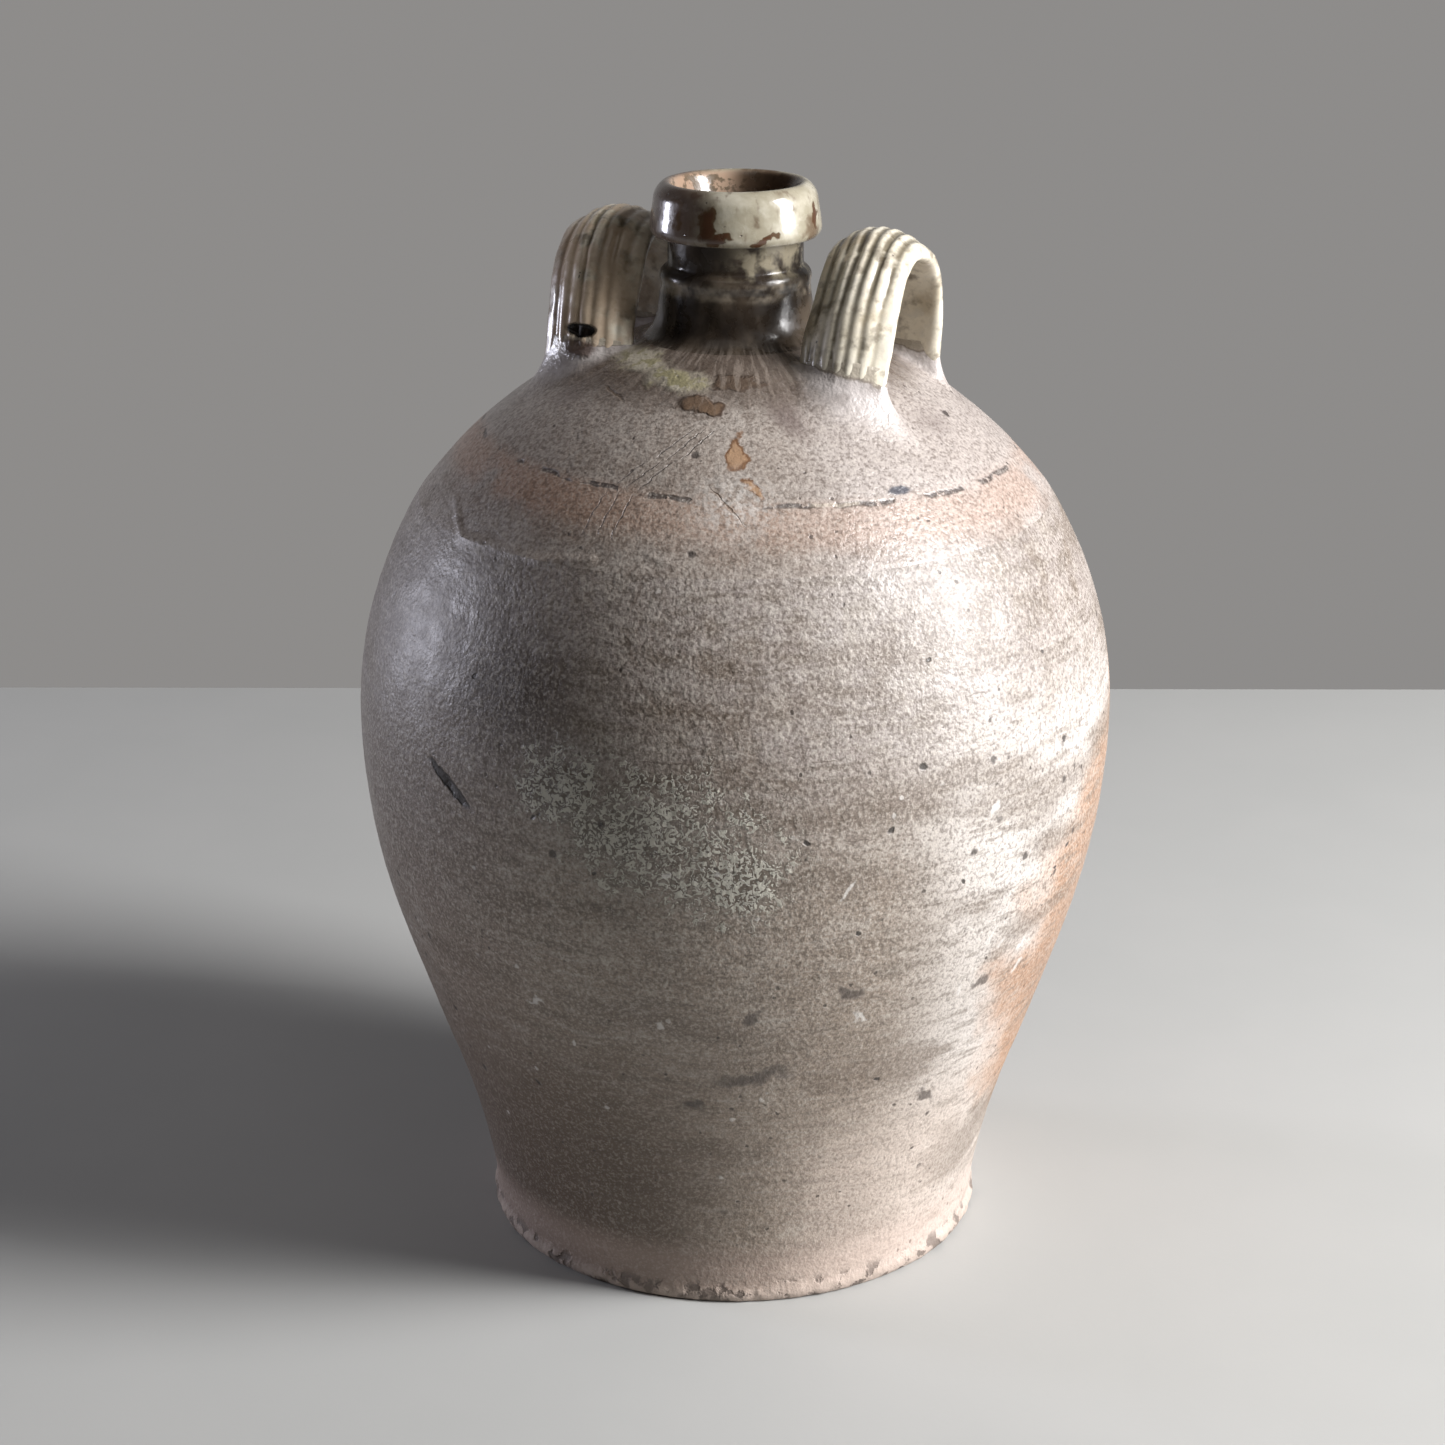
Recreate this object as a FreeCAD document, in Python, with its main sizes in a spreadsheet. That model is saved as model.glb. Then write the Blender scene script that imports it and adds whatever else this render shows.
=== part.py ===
import FreeCAD, Part
import math
import os

import Sketcher

# A thrown stoneware jug with two strap handles on its shoulder.
# Frame: millimetres, +Z up, origin at the middle of the foot, handles left and right of the Y axis.
# Every piece is built where it sits on the finished pot: the thrown pieces are revolved about Z,
# and each strap is swept in a frame of its own that its Placement stands on the shoulder.

DIMENSIONS = {
    # clay thickness
    "wall": 9.0,
    "floor_thickness": 12.0,
    # foot, with the small roll of clay left where the pot was cut from the wheel
    "foot_radius": 94.2,
    "toe_radius": 95.4,
    "toe_height": 3.0,
    "heel_height": 6.5,
    "foot_top_radius": 94.8,
    "foot_top_height": 15.0,
    "foot_sweep_curve": 310.0,
    # waist and belly
    "waist_radius": 112.5,
    "waist_height": 80.0,
    "flank_radius": 125.7,
    "flank_height": 120.0,
    "belly_radius": 140.4,
    "belly_height": 203.0,
    "lower_belly_curve": 241.7,
    "upper_belly_curve": 155.7,
    # join between the lower body and the dome that closes it
    "join_radius": 115.8,
    "join_height": 287.0,
    "join_bore_radius": 104.6,
    "dome_curve": 165.0,
    # inside corner at the floor
    "floor_flat_radius": 70.0,
    "corner_radius": 85.6,
    "corner_height": 28.0,
    "corner_curve": 16.0,
    # neck
    "neck_base_radius": 35.5,
    "neck_base_height": 344.5,
    "neck_fillet_curve": 10.5,
    "neck_radius": 28.2,
    "neck_fillet_height": 354.0,
    "neck_top_radius": 24.4,
    "ridge_bottom_radius": 26.8,
    "ridge_bottom_height": 364.0,
    "ridge_top_height": 370.0,
    "ridge_curve": 3.9,
    "throat_radius": 20.0,
    "bore_radius": 17.0,
    "bore_bottom_height": 352.0,
    # rim collar
    "collar_seat_height": 382.0,
    "collar_radius": 31.0,
    "collar_bottom_height": 380.6,
    "collar_side_height": 383.0,
    "collar_shoulder_radius": 29.6,
    "collar_shoulder_height": 392.5,
    "collar_side_curve": 60.0,
    "lip_radius": 25.4,
    "lip_round_curve": 8.2,
    "mouth_radius": 23.0,
    "mouth_height": 398.9,
    "mouth_round_curve": 2.2,
    "funnel_height": 388.0,
    "total_height": 400.0,
    # strap section: a crowned back with finger-drawn ribs and a flat inside
    "strap_half_width": 16.2,
    "strap_crown": 5.6,
    "strap_drop": 6.6,
    "strap_back": 4.4,
    "strap_back_half_width": 13.0,
    "strap_edge_curve": 4.2,
    "rib_curve": 3.1,
    # strap path: upright back leg, round crown, leaning front leg
    "strap_root_depth": 16.0,
    "right_offset": 51.0,
    "right_turn": 67.5,
    "right_foot_height": 333.0,
    "right_half_span": 34.0,
    "right_crown_height": 45.5,
    "right_crown_curve": 24.0,
    "right_front_curve": 98.0,
    "left_offset": 46.8,
    "left_turn": 71.0,
    "left_foot_height": 335.5,
    "left_half_span": 30.2,
    "left_crown_height": 45.8,
    "left_crown_curve": 25.0,
    "left_front_curve": 110.0,
    # pads of clay pressed round the strap feet
    "pad_length": 22.0,
    "pad_width": 22.0,
    "pad_thickness": 8.0,
}
RIBS = 7
SHEET = "Dimensions"
STRAP_SWEEP_GUESS = 140.0  # degrees of crown before the front leg; the sketch solves the true value

doc = FreeCAD.newDocument("stoneware_jug")
sheet = doc.addObject("Spreadsheet::Sheet", SHEET)
for row, (alias, amount) in enumerate(DIMENSIONS.items(), start=1):
    sheet.set(f"A{row}", alias)
    sheet.set(f"B{row}", str(amount))
    sheet.setAlias(f"B{row}", alias)
doc.recompute()


def term(word):
    """Value of one term: a number, an alias, or a factor times an alias such as 0.5*wall."""
    factor, _, name = word.rpartition("*")
    value = sheet.get(name) if name in DIMENSIONS else float(name)
    return float(factor or 1) * value


def size(text):
    """Value of a sum such as 'belly_radius - wall', read from the sheet."""
    words = text.split()
    signs = ["+"] + words[1::2]
    return sum(term(word) if sign == "+" else -term(word) for sign, word in zip(signs, words[::2]))


def bound(text):
    """The same sum as a FreeCAD expression on the sheet's cells."""
    words = []
    for word in text.split():
        factor, _, name = word.rpartition("*")
        cell = f"{SHEET}.{name}" if name in DIMENSIONS else name
        words.append(f"{factor} * {cell}" if factor else cell)
    return " ".join(words)


def origin_plane(body, role):
    return next(plane for plane in body.Origin.OriginFeatures if plane.Role == role)


class Outline:
    """A chain of lines and arcs in a sketch, each vertex tied to the sheet."""

    def __init__(self, body, name, role="XZ_Plane"):
        self.sketch = body.newObject("Sketcher::SketchObject", name)
        self.sketch.AttachmentSupport = (origin_plane(body, role), "")
        self.sketch.MapMode = "FlatFace"
        self.ends = []
        self.point = None

    def tie(self, kind, geometry, end, text):
        """Hold one coordinate of a vertex at a size from the sheet."""
        index = self.sketch.addConstraint(
            Sketcher.Constraint(kind, -1, 1, geometry, end, size(text)))
        self.sketch.setExpression(f"Constraints[{index}]", bound(text))

    def begin(self, across, up):
        self.start = (across, up)
        self.point = FreeCAD.Vector(size(across), size(up), 0)

    def add(self, curve, across, up):
        """Add a curve that ends at the vertex (across, up) and join it to the one before."""
        geometry = self.sketch.addGeometry(curve, False)
        begins = self.sketch.Geometry[geometry].StartPoint
        reverse = begins.distanceToPoint(self.point) > 1e-6
        near, far = (2, 1) if reverse else (1, 2)
        if self.ends:
            self.sketch.addConstraint(
                Sketcher.Constraint("Coincident", *self.ends[-1][1], geometry, near))
        self.ends.append(((geometry, near), (geometry, far)))
        self.place(geometry, far, across, up)
        self.point = FreeCAD.Vector(size(across), size(up), 0)
        return geometry

    def place(self, geometry, end, across, up):
        for kind, axis, text in (("DistanceX", -2, across), ("DistanceY", -1, up)):
            if text == "0":
                self.sketch.addConstraint(
                    Sketcher.Constraint("PointOnObject", geometry, end, axis))
            else:
                self.tie(kind, geometry, end, text)

    def line_to(self, across, up):
        end = FreeCAD.Vector(size(across), size(up), 0)
        self.add(Part.LineSegment(self.point, end), across, up)

    def arc_to(self, across, up, curve, side):
        """Arc of radius curve; side +1 bulges to the left of the way the outline runs, -1 right."""
        end = FreeCAD.Vector(size(across), size(up), 0)
        chord = end - self.point
        half = chord.Length / 2
        radius = size(curve)
        rise = radius - math.sqrt(radius ** 2 - half ** 2)
        left = FreeCAD.Vector(-chord.y, chord.x, 0).normalize()
        middle = (self.point + end) / 2 + left * (side * rise)
        # a sketch keeps its arcs counter-clockwise, so one that bulges left is drawn backwards
        first, last = (end, self.point) if side > 0 else (self.point, end)
        geometry = self.add(Part.Arc(first, middle, last), across, up)
        index = self.sketch.addConstraint(Sketcher.Constraint("Radius", geometry, radius))
        self.sketch.setExpression(f"Constraints[{index}]", bound(curve))

    def join_ends(self):
        """Close the outline where its last curve ends on its first vertex."""
        self.sketch.addConstraint(
            Sketcher.Constraint("Coincident", *self.ends[-1][1], *self.ends[0][0]))

    def close(self):
        """Run a line back to the first vertex."""
        self.line_to(*self.start)
        self.join_ends()


def revolved(name, draw):
    """A body of revolution about Z from the outline that draw() lays out."""
    body = doc.addObject("PartDesign::Body", name)
    body.Label = name
    outline = Outline(body, f"{name}_outline")
    draw(outline)
    turn = body.newObject("PartDesign::Revolution", f"{name}_turn")
    turn.Profile = outline.sketch
    turn.ReferenceAxis = (outline.sketch, ["V_Axis"])
    turn.Angle = 360
    body.Tip = turn
    return body


def draw_lower_body(outline):
    """Floor and wall, from the foot up to the join below the shoulder."""
    outline.begin("0", "0")
    outline.line_to("foot_radius", "0")
    outline.line_to("toe_radius", "toe_height")
    outline.line_to("foot_radius", "heel_height")
    outline.line_to("foot_top_radius", "foot_top_height")
    outline.arc_to("waist_radius", "waist_height", "foot_sweep_curve", 1)
    outline.line_to("flank_radius", "flank_height")
    outline.arc_to("belly_radius", "belly_height", "lower_belly_curve", -1)
    outline.arc_to("join_radius", "join_height", "upper_belly_curve", -1)
    outline.line_to("join_bore_radius", "join_height")
    outline.arc_to("belly_radius - wall", "belly_height", "upper_belly_curve - wall", 1)
    outline.arc_to("flank_radius - wall", "flank_height", "lower_belly_curve - wall", 1)
    outline.line_to("waist_radius - wall", "waist_height")
    outline.arc_to("corner_radius", "corner_height", "foot_sweep_curve", -1)
    outline.arc_to("floor_flat_radius", "floor_thickness", "corner_curve", 1)
    outline.line_to("0", "floor_thickness")
    outline.close()


def draw_shoulder_dome(outline):
    """The section that closes the pot, luted to the lower body and open at the throat."""
    outline.begin("join_bore_radius", "join_height")
    outline.line_to("join_radius", "join_height")
    outline.arc_to("neck_base_radius", "neck_base_height", "dome_curve", -1)
    outline.line_to("throat_radius", "neck_base_height")
    outline.line_to("throat_radius", "neck_base_height - wall")
    outline.arc_to("join_bore_radius", "join_height", "dome_curve - wall", 1)
    outline.join_ends()


def draw_neck(outline):
    """Short neck with a raised ridge, bored straight for the cork."""
    outline.begin("throat_radius", "neck_base_height")
    outline.line_to("neck_base_radius", "neck_base_height")
    outline.arc_to("neck_radius", "neck_fillet_height", "neck_fillet_curve", 1)
    outline.line_to("ridge_bottom_radius", "ridge_bottom_height")
    outline.arc_to("neck_top_radius", "ridge_top_height", "ridge_curve", -1)
    outline.line_to("neck_top_radius", "collar_seat_height")
    outline.line_to("bore_radius", "collar_seat_height")
    outline.line_to("bore_radius", "bore_bottom_height")
    outline.close()


def draw_rim_collar(outline):
    """Heavy collar that overhangs the neck, with a rounded lip and a funnel down to the bore."""
    outline.begin("bore_radius", "collar_seat_height")
    outline.line_to("neck_top_radius", "collar_seat_height")
    outline.line_to("collar_shoulder_radius", "collar_bottom_height")
    outline.line_to("collar_radius", "collar_side_height")
    outline.arc_to("collar_shoulder_radius", "collar_shoulder_height", "collar_side_curve", -1)
    outline.arc_to("lip_radius", "total_height", "lip_round_curve", -1)
    outline.arc_to("mouth_radius", "mouth_height", "mouth_round_curve", -1)
    outline.line_to("bore_radius", "funnel_height")
    outline.close()


def draw_pot_envelope(outline):
    """Solid under the dome's outer surface, which trims the straps and pads to that surface."""
    outline.begin("0", "join_height")
    outline.line_to("join_radius", "join_height")
    outline.arc_to("neck_base_radius", "neck_base_height", "dome_curve", -1)
    outline.line_to("0", "neck_base_height")
    outline.close()


def draw_strap_section(outline, back_leg):
    """Section of a strap across the foot of its back leg, the ribbed back towards +X."""
    for rib in range(RIBS + 1):
        place = 2 * rib / RIBS - 1
        crown = f"{back_leg} + strap_crown - {place * place:.6f}*strap_drop"
        across = f"{place:.6f}*strap_half_width"
        if rib == 0:
            outline.begin(crown, across)
        else:
            outline.arc_to(crown, across, "rib_curve", -1)
    inside = f"{back_leg} - strap_back"
    outline.arc_to(inside, "strap_back_half_width", "strap_edge_curve", -1)
    outline.line_to(inside, "-1*strap_back_half_width")
    edge = f"{back_leg} + strap_crown - strap_drop"
    outline.arc_to(edge, "-1*strap_half_width", "strap_edge_curve", -1)
    outline.join_ends()


def draw_strap_path(sketch, side):
    """Middle line of a strap: upright back leg, round crown and leaning front leg, all tangent."""
    half_span = size(f"{side}_half_span")
    root = -size("strap_root_depth")
    crown = size(f"{side}_crown_curve")
    front = size(f"{side}_front_curve")
    middle = FreeCAD.Vector(half_span - crown, size(f"{side}_crown_height") - crown, 0)
    normal = FreeCAD.Vector(0, 0, 1)
    sweep = math.radians(STRAP_SWEEP_GUESS)
    front_middle = middle + FreeCAD.Vector(math.cos(sweep), math.sin(sweep), 0) * (crown - front)
    leg = sketch.addGeometry(Part.LineSegment(
        FreeCAD.Vector(half_span, root, 0), middle + FreeCAD.Vector(crown, 0, 0)), False)
    top = sketch.addGeometry(Part.ArcOfCircle(Part.Circle(middle, normal, crown), 0, sweep), False)
    lean = sketch.addGeometry(Part.ArcOfCircle(
        Part.Circle(front_middle, normal, front), sweep, math.pi), False)
    for constraint in (
            Sketcher.Constraint("Vertical", leg),
            Sketcher.Constraint("Tangent", leg, 2, top, 1),
            Sketcher.Constraint("Tangent", top, 2, lean, 1)):
        sketch.addConstraint(constraint)
    for constraint, text in (
            (("DistanceX", -1, 1, leg, 1), f"{side}_half_span"),
            (("DistanceY", -1, 1, leg, 1), "-1*strap_root_depth"),
            (("DistanceX", -1, 1, lean, 2), f"-1*{side}_half_span"),
            (("DistanceY", -1, 1, lean, 2), "-1*strap_root_depth"),
            (("DistanceY", -1, 1, top, 3), f"{side}_crown_height - {side}_crown_curve"),
            (("Radius", top), f"{side}_crown_curve"),
            (("Radius", lean), f"{side}_front_curve")):
        index = sketch.addConstraint(Sketcher.Constraint(*constraint, size(text)))
        sketch.setExpression(f"Constraints[{index}]", bound(text))


def strap_frame(side):
    """Placement of a strap: its X runs from the front foot to the back foot, its Z is up."""
    turn = FreeCAD.Rotation(FreeCAD.Vector(0, 0, 1), size(f"{side}_turn"))
    outward = 1 if side == "left" else -1
    foot = turn.multVec(FreeCAD.Vector(0, outward * size(f"{side}_offset"), 0))
    foot.z = size(f"{side}_foot_height")
    return FreeCAD.Placement(foot, turn)


def swept_strap(side):
    """Whole strap, its roots running on into the pot."""
    body = doc.addObject("PartDesign::Body", f"strap_{side}")
    path = body.newObject("Sketcher::SketchObject", f"strap_{side}_path")
    path.AttachmentSupport = (origin_plane(body, "XZ_Plane"), "")
    path.MapMode = "FlatFace"
    draw_strap_path(path, side)
    section = Outline(body, f"strap_{side}_section", "XY_Plane")
    section.sketch.AttachmentOffset = FreeCAD.Placement(
        FreeCAD.Vector(0, 0, -size("strap_root_depth")), FreeCAD.Rotation())
    section.sketch.setExpression("AttachmentOffset.Base.z", bound("-1*strap_root_depth"))
    draw_strap_section(section, f"{side}_half_span")
    doc.recompute()
    pipe = body.newObject("PartDesign::AdditivePipe", f"strap_{side}_sweep")
    pipe.Profile = section.sketch
    pipe.Spine = path
    body.Tip = pipe
    body.Placement = strap_frame(side)
    return body


def cut(name, base, tool):
    """Piece left of base once tool is taken away."""
    piece = doc.addObject("Part::Cut", name)
    piece.Base = base
    piece.Tool = tool
    piece.Label = name
    return piece


def clay_mound(name, side, end):
    """Low mound of clay on the dome round one foot of a strap, lying along the slope."""
    mound = doc.addObject("Part::Ellipsoid", name)
    mound.setExpression("Radius1", bound("pad_thickness"))
    mound.setExpression("Radius2", bound("pad_length"))
    mound.setExpression("Radius3", bound("pad_width"))
    along = size(f"{side}_half_span") * end
    foot = strap_frame(side).multVec(FreeCAD.Vector(along, 0, 0))
    radius = math.hypot(foot.x, foot.y)
    slope = dome_slope(radius)
    foot.z = dome_height(radius)
    azimuth = math.degrees(math.atan2(foot.y, foot.x))
    mound.Placement = FreeCAD.Placement(
        foot,
        FreeCAD.Rotation(FreeCAD.Vector(0, 0, 1), azimuth)
        * FreeCAD.Rotation(FreeCAD.Vector(0, 1, 0), slope))
    return mound


def dome_centre():
    """Centre, in radius and height, of the arc that makes the dome's outer surface."""
    low = FreeCAD.Vector(size("join_radius"), size("join_height"), 0)
    high = FreeCAD.Vector(size("neck_base_radius"), size("neck_base_height"), 0)
    chord = high - low
    reach = math.sqrt(size("dome_curve") ** 2 - (chord.Length / 2) ** 2)
    inward = FreeCAD.Vector(-chord.y, chord.x, 0).normalize()
    return (low + high) / 2 + inward * reach


def dome_height(radius):
    centre = dome_centre()
    return centre.y + math.sqrt(size("dome_curve") ** 2 - (radius - centre.x) ** 2)


def dome_slope(radius):
    """Fall of the dome at a radius, in degrees below the horizontal."""
    return math.degrees(math.asin((radius - dome_centre().x) / size("dome_curve")))


lower_body = revolved("lower_body", draw_lower_body)
shoulder_dome = revolved("shoulder_dome", draw_shoulder_dome)
neck = revolved("neck", draw_neck)
rim_collar = revolved("rim_collar", draw_rim_collar)
pieces = [lower_body, shoulder_dome, neck, rim_collar]

envelope = revolved("pot_envelope", draw_pot_envelope)
for side in ("left", "right"):
    strap = swept_strap(side)
    pieces.append(cut(f"handle_{side}", strap, envelope))
    for place, end in (("front", -1), ("back", 1)):
        name = f"handle_{side}_{place}_pad"
        mound = clay_mound(f"{name}_mound", side, end)
        on_dome = cut(f"{name}_on_dome", mound, envelope)
        pieces.append(cut(name, on_dome, strap))

doc.recompute()

for thing in doc.Objects:
    if "Invalid" in thing.State or "Error" in thing.State:
        raise SystemExit(f"{thing.Name} failed: {thing.State}")
for piece in pieces:
    shape = piece.Shape
    if shape.isNull() or not shape.isValid() or not shape.Solids:
        raise SystemExit(f"{piece.Label} has no valid solid")
    print(f"{piece.Label}: {len(shape.Solids)} solid, {shape.Volume / 1000:.1f} cm3")

os.makedirs("parts", exist_ok=True)
for piece in pieces:
    piece.Shape.exportStep(f"parts/{piece.Label}.step")
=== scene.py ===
import math
import random

import bmesh
import bpy
import numpy as np
from mathutils import Matrix, Vector


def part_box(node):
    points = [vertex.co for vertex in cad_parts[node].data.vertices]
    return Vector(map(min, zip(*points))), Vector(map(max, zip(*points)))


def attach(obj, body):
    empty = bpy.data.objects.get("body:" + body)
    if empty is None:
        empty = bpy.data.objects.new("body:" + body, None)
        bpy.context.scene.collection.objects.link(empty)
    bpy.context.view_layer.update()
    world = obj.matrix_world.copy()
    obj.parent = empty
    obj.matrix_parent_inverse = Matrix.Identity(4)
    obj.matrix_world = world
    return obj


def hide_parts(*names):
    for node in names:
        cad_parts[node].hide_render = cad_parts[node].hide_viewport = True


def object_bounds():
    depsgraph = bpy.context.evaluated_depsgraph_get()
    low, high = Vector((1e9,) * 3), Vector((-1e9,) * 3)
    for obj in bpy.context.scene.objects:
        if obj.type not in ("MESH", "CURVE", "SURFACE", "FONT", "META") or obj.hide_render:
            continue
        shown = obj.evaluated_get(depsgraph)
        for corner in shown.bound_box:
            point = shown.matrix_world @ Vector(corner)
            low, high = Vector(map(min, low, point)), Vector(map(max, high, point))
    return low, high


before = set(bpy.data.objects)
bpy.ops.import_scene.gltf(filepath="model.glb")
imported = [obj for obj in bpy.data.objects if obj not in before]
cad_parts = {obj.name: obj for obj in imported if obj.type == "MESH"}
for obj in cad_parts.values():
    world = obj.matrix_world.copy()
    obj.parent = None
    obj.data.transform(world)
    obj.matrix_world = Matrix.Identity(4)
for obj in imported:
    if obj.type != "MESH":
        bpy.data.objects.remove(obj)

# A salt-glazed stoneware jug with two strap handles: detailed meshes and glazes for the CAD pieces.

cad_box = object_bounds()
BOX = {node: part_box(node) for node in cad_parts}

MM = 0.001  # sizes below are in millimetres where a name says so, and metres otherwise

# ---------------------------------------------------------------- camera, light and floor

POT_HEIGHT = cad_box[1][2] - cad_box[0][2]
CAMERA_DOWN = math.radians(19.8)
CAMERA_ASIDE = math.radians(0.25)
CAMERA_AWAY = 2.85 * POT_HEIGHT
CAMERA_AIM = 0.487 * POT_HEIGHT  # height of the point at the middle of the view
CAMERA_LENS = 75.0
SENSOR = 36.0
FLOOR_BACK = 1.5 * POT_HEIGHT  # from the middle of the pot to the back edge of the floor
FLOOR_SIZE = 3.0
BACKDROP = (0.27, 0.262, 0.256, 1)
ROOM_DARK = (0.015, 0.012, 0.01, 1)


def make_camera():
    """Camera a little to the side, looking down at the front of the pot."""
    camera = bpy.data.objects.new("camera", bpy.data.cameras.new("camera"))
    camera.data.lens = CAMERA_LENS
    camera.data.sensor_width = SENSOR
    camera.data.clip_start = 0.05
    camera.location = (0, -CAMERA_AWAY * math.cos(CAMERA_DOWN),
                       CAMERA_AIM + CAMERA_AWAY * math.sin(CAMERA_DOWN))
    camera.rotation_euler = (math.pi / 2 - CAMERA_DOWN, 0, CAMERA_ASIDE)
    bpy.context.scene.collection.objects.link(camera)
    bpy.context.scene.camera = camera


def add_softbox(name, place, target, size, watts, colour):
    """Rectangular studio light that faces a point of the pot."""
    light = bpy.data.lights.new(name, "AREA")
    light.shape = "RECTANGLE"
    light.size, light.size_y = size
    light.energy = watts
    light.color = colour
    lamp = bpy.data.objects.new(name, light)
    lamp.location = place
    lamp.rotation_euler = (Vector(target) - Vector(place)).to_track_quat("-Z", "Y").to_euler()
    bpy.context.scene.collection.objects.link(lamp)


def make_lights():
    """Large light on the right, a weak cool one on the left, and a dim room with a grey backdrop."""
    add_softbox("window_right", (1.5, -0.42, 0.96), (0.0, 0.0, 0.2), (0.52, 1.25), 71, (1.0, 0.988, 0.99))
    add_softbox("window_left", (-1.9, 0.6, 0.42), (0.0, 0.0, 0.25), (0.36, 0.5), 16, (0.86, 0.87, 1.0))
    add_softbox("ceiling", (-0.1, -0.4, 1.9), (0.0, 0.0, 0.3), (1.2, 1.2), 1.9, (1.0, 0.96, 0.9))
    world = bpy.data.worlds.new("room")
    world.use_nodes = True
    tree = world.node_tree
    background = tree.nodes["Background"]
    direction = tree.nodes.new("ShaderNodeTexCoord")
    split = tree.nodes.new("ShaderNodeSeparateXYZ")
    behind = tree.nodes.new("ShaderNodeMapRange")
    behind.interpolation_type = "SMOOTHSTEP"
    behind.inputs["From Min"].default_value = 0.5
    behind.inputs["From Max"].default_value = 0.85
    tint = tree.nodes.new("ShaderNodeMix")
    tint.data_type = "RGBA"
    tint.inputs["A"].default_value = ROOM_DARK
    tint.inputs["B"].default_value = BACKDROP
    tree.links.new(direction.outputs["Generated"], split.inputs[0])
    tree.links.new(split.outputs["Y"], behind.inputs["Value"])
    seen = tree.nodes.new("ShaderNodeLightPath")
    either = tree.nodes.new("ShaderNodeMath")
    either.operation = "MAXIMUM"
    tree.links.new(behind.outputs["Result"], either.inputs[0])
    tree.links.new(seen.outputs["Is Camera Ray"], either.inputs[1])
    tree.links.new(either.outputs[0], tint.inputs["Factor"])
    tree.links.new(tint.outputs["Result"], background.inputs["Color"])
    bpy.context.scene.world = world
    bpy.context.scene.view_settings.view_transform = "Standard"


# ---------------------------------------------------------------- noise on points, in mm

def hashed(cell, seed):
    """Repeatable value from 0 to 1 for each lattice cell."""
    with np.errstate(over="ignore"):
        mixed = (cell[0] * np.uint32(374761393) + cell[1] * np.uint32(668265263)
                 + cell[2] * np.uint32(2246822519) + np.uint32(seed * 3266489917 % 2**32))
        mixed = (mixed ^ (mixed >> np.uint32(13))) * np.uint32(1274126177)
        mixed = mixed ^ (mixed >> np.uint32(16))
    return mixed.astype(np.float64) / 2**32


def noise(points, size, seed=0, octaves=1):
    """Smooth value noise from -1 to 1 at points in mm, with features about size mm across."""
    total = np.zeros(len(points))
    weight, reach = 1.0, 0.0
    for octave in range(octaves):
        scaled = points / size * 2**octave + seed * 17.3
        base = np.floor(scaled)
        part = scaled - base
        ease = part * part * part * (part * (part * 6 - 15) + 10)
        cell = base.astype(np.int64).astype(np.uint32)
        value = np.zeros(len(points))
        for vertex in range(8):
            step = np.array([vertex & 1, vertex >> 1 & 1, vertex >> 2 & 1])
            share = np.prod(np.where(step, ease, 1 - ease), axis=1)
            value += share * hashed((cell + step.astype(np.uint32)).T, seed + octave)
        total += weight * (2 * value - 1)
        reach += weight
        weight *= 0.5
    return total / reach


def smoothstep(low, high, value):
    t = np.clip((value - low) / (high - low), 0, 1)
    return t * t * (3 - 2 * t)


# ---------------------------------------------------------------- outlines of the CAD pieces

def level(node, share):
    """Height in mm at a share of the way up a CAD piece."""
    low, high = BOX[node]
    return (low[2] + share * (high[2] - low[2])) / MM


def section(node, origin=(0.0, 0.0), along=(1.0, 0.0), half=True):
    """Edges where an upright plane cuts a CAD node, as {point: neighbours} in mm along and up.

    With half, only the part of the plane ahead of the origin counts.
    """
    start, direction = Vector((*origin, 0)) * MM, Vector((*along, 0))
    sideways = Vector((-along[1], along[0], 0))
    shape = bmesh.new()
    shape.from_mesh(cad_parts[node].data)
    bmesh.ops.remove_doubles(shape, verts=shape.verts, dist=1e-7)
    if half:
        bmesh.ops.bisect_plane(shape, geom=shape.verts[:] + shape.edges[:] + shape.faces[:],
                               plane_co=start, plane_no=direction, clear_inner=True)
    cut = bmesh.ops.bisect_plane(shape, geom=shape.verts[:] + shape.edges[:] + shape.faces[:],
                                 plane_co=start, plane_no=sideways)["geom_cut"]
    near = {}
    for edge in cut:
        if isinstance(edge, bmesh.types.BMEdge):
            a, b = ((round((v.co - start).dot(direction) / MM, 4), round(v.co.z / MM, 4)) for v in edge.verts)
            if a != b:
                near.setdefault(a, set()).add(b)
                near.setdefault(b, set()).add(a)
    shape.free()
    return near


def extreme(near, height_sign, radius_sign):
    """The section's point furthest up or down, and of those the furthest out or in."""
    return max(near, key=lambda p: (round(height_sign * p[1], 2), radius_sign * p[0]))


def walk(near, start, end, further, axis=0):
    """Points along the section from start to end, by the side that lies further along an axis or not."""
    routes = []
    for first in near[start]:
        route = [start, first]
        while route[-1] != end:
            onward = [p for p in near[route[-1]] if p != route[-2]]
            if not onward or onward[0] == start:
                break
            route.append(onward[0])
        if route[-1] == end:
            routes.append(np.array(route))
    routes.sort(key=lambda route: mean_place(route, axis))
    return routes[-1] if further else routes[0]


def mean_place(route, axis):
    step = np.linalg.norm(np.diff(route, axis=0), axis=1)
    return np.sum((route[1:, axis] + route[:-1, axis]) / 2 * step) / np.sum(step)


def length_of(line):
    return np.sum(np.linalg.norm(np.diff(line, axis=0), axis=1))


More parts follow.
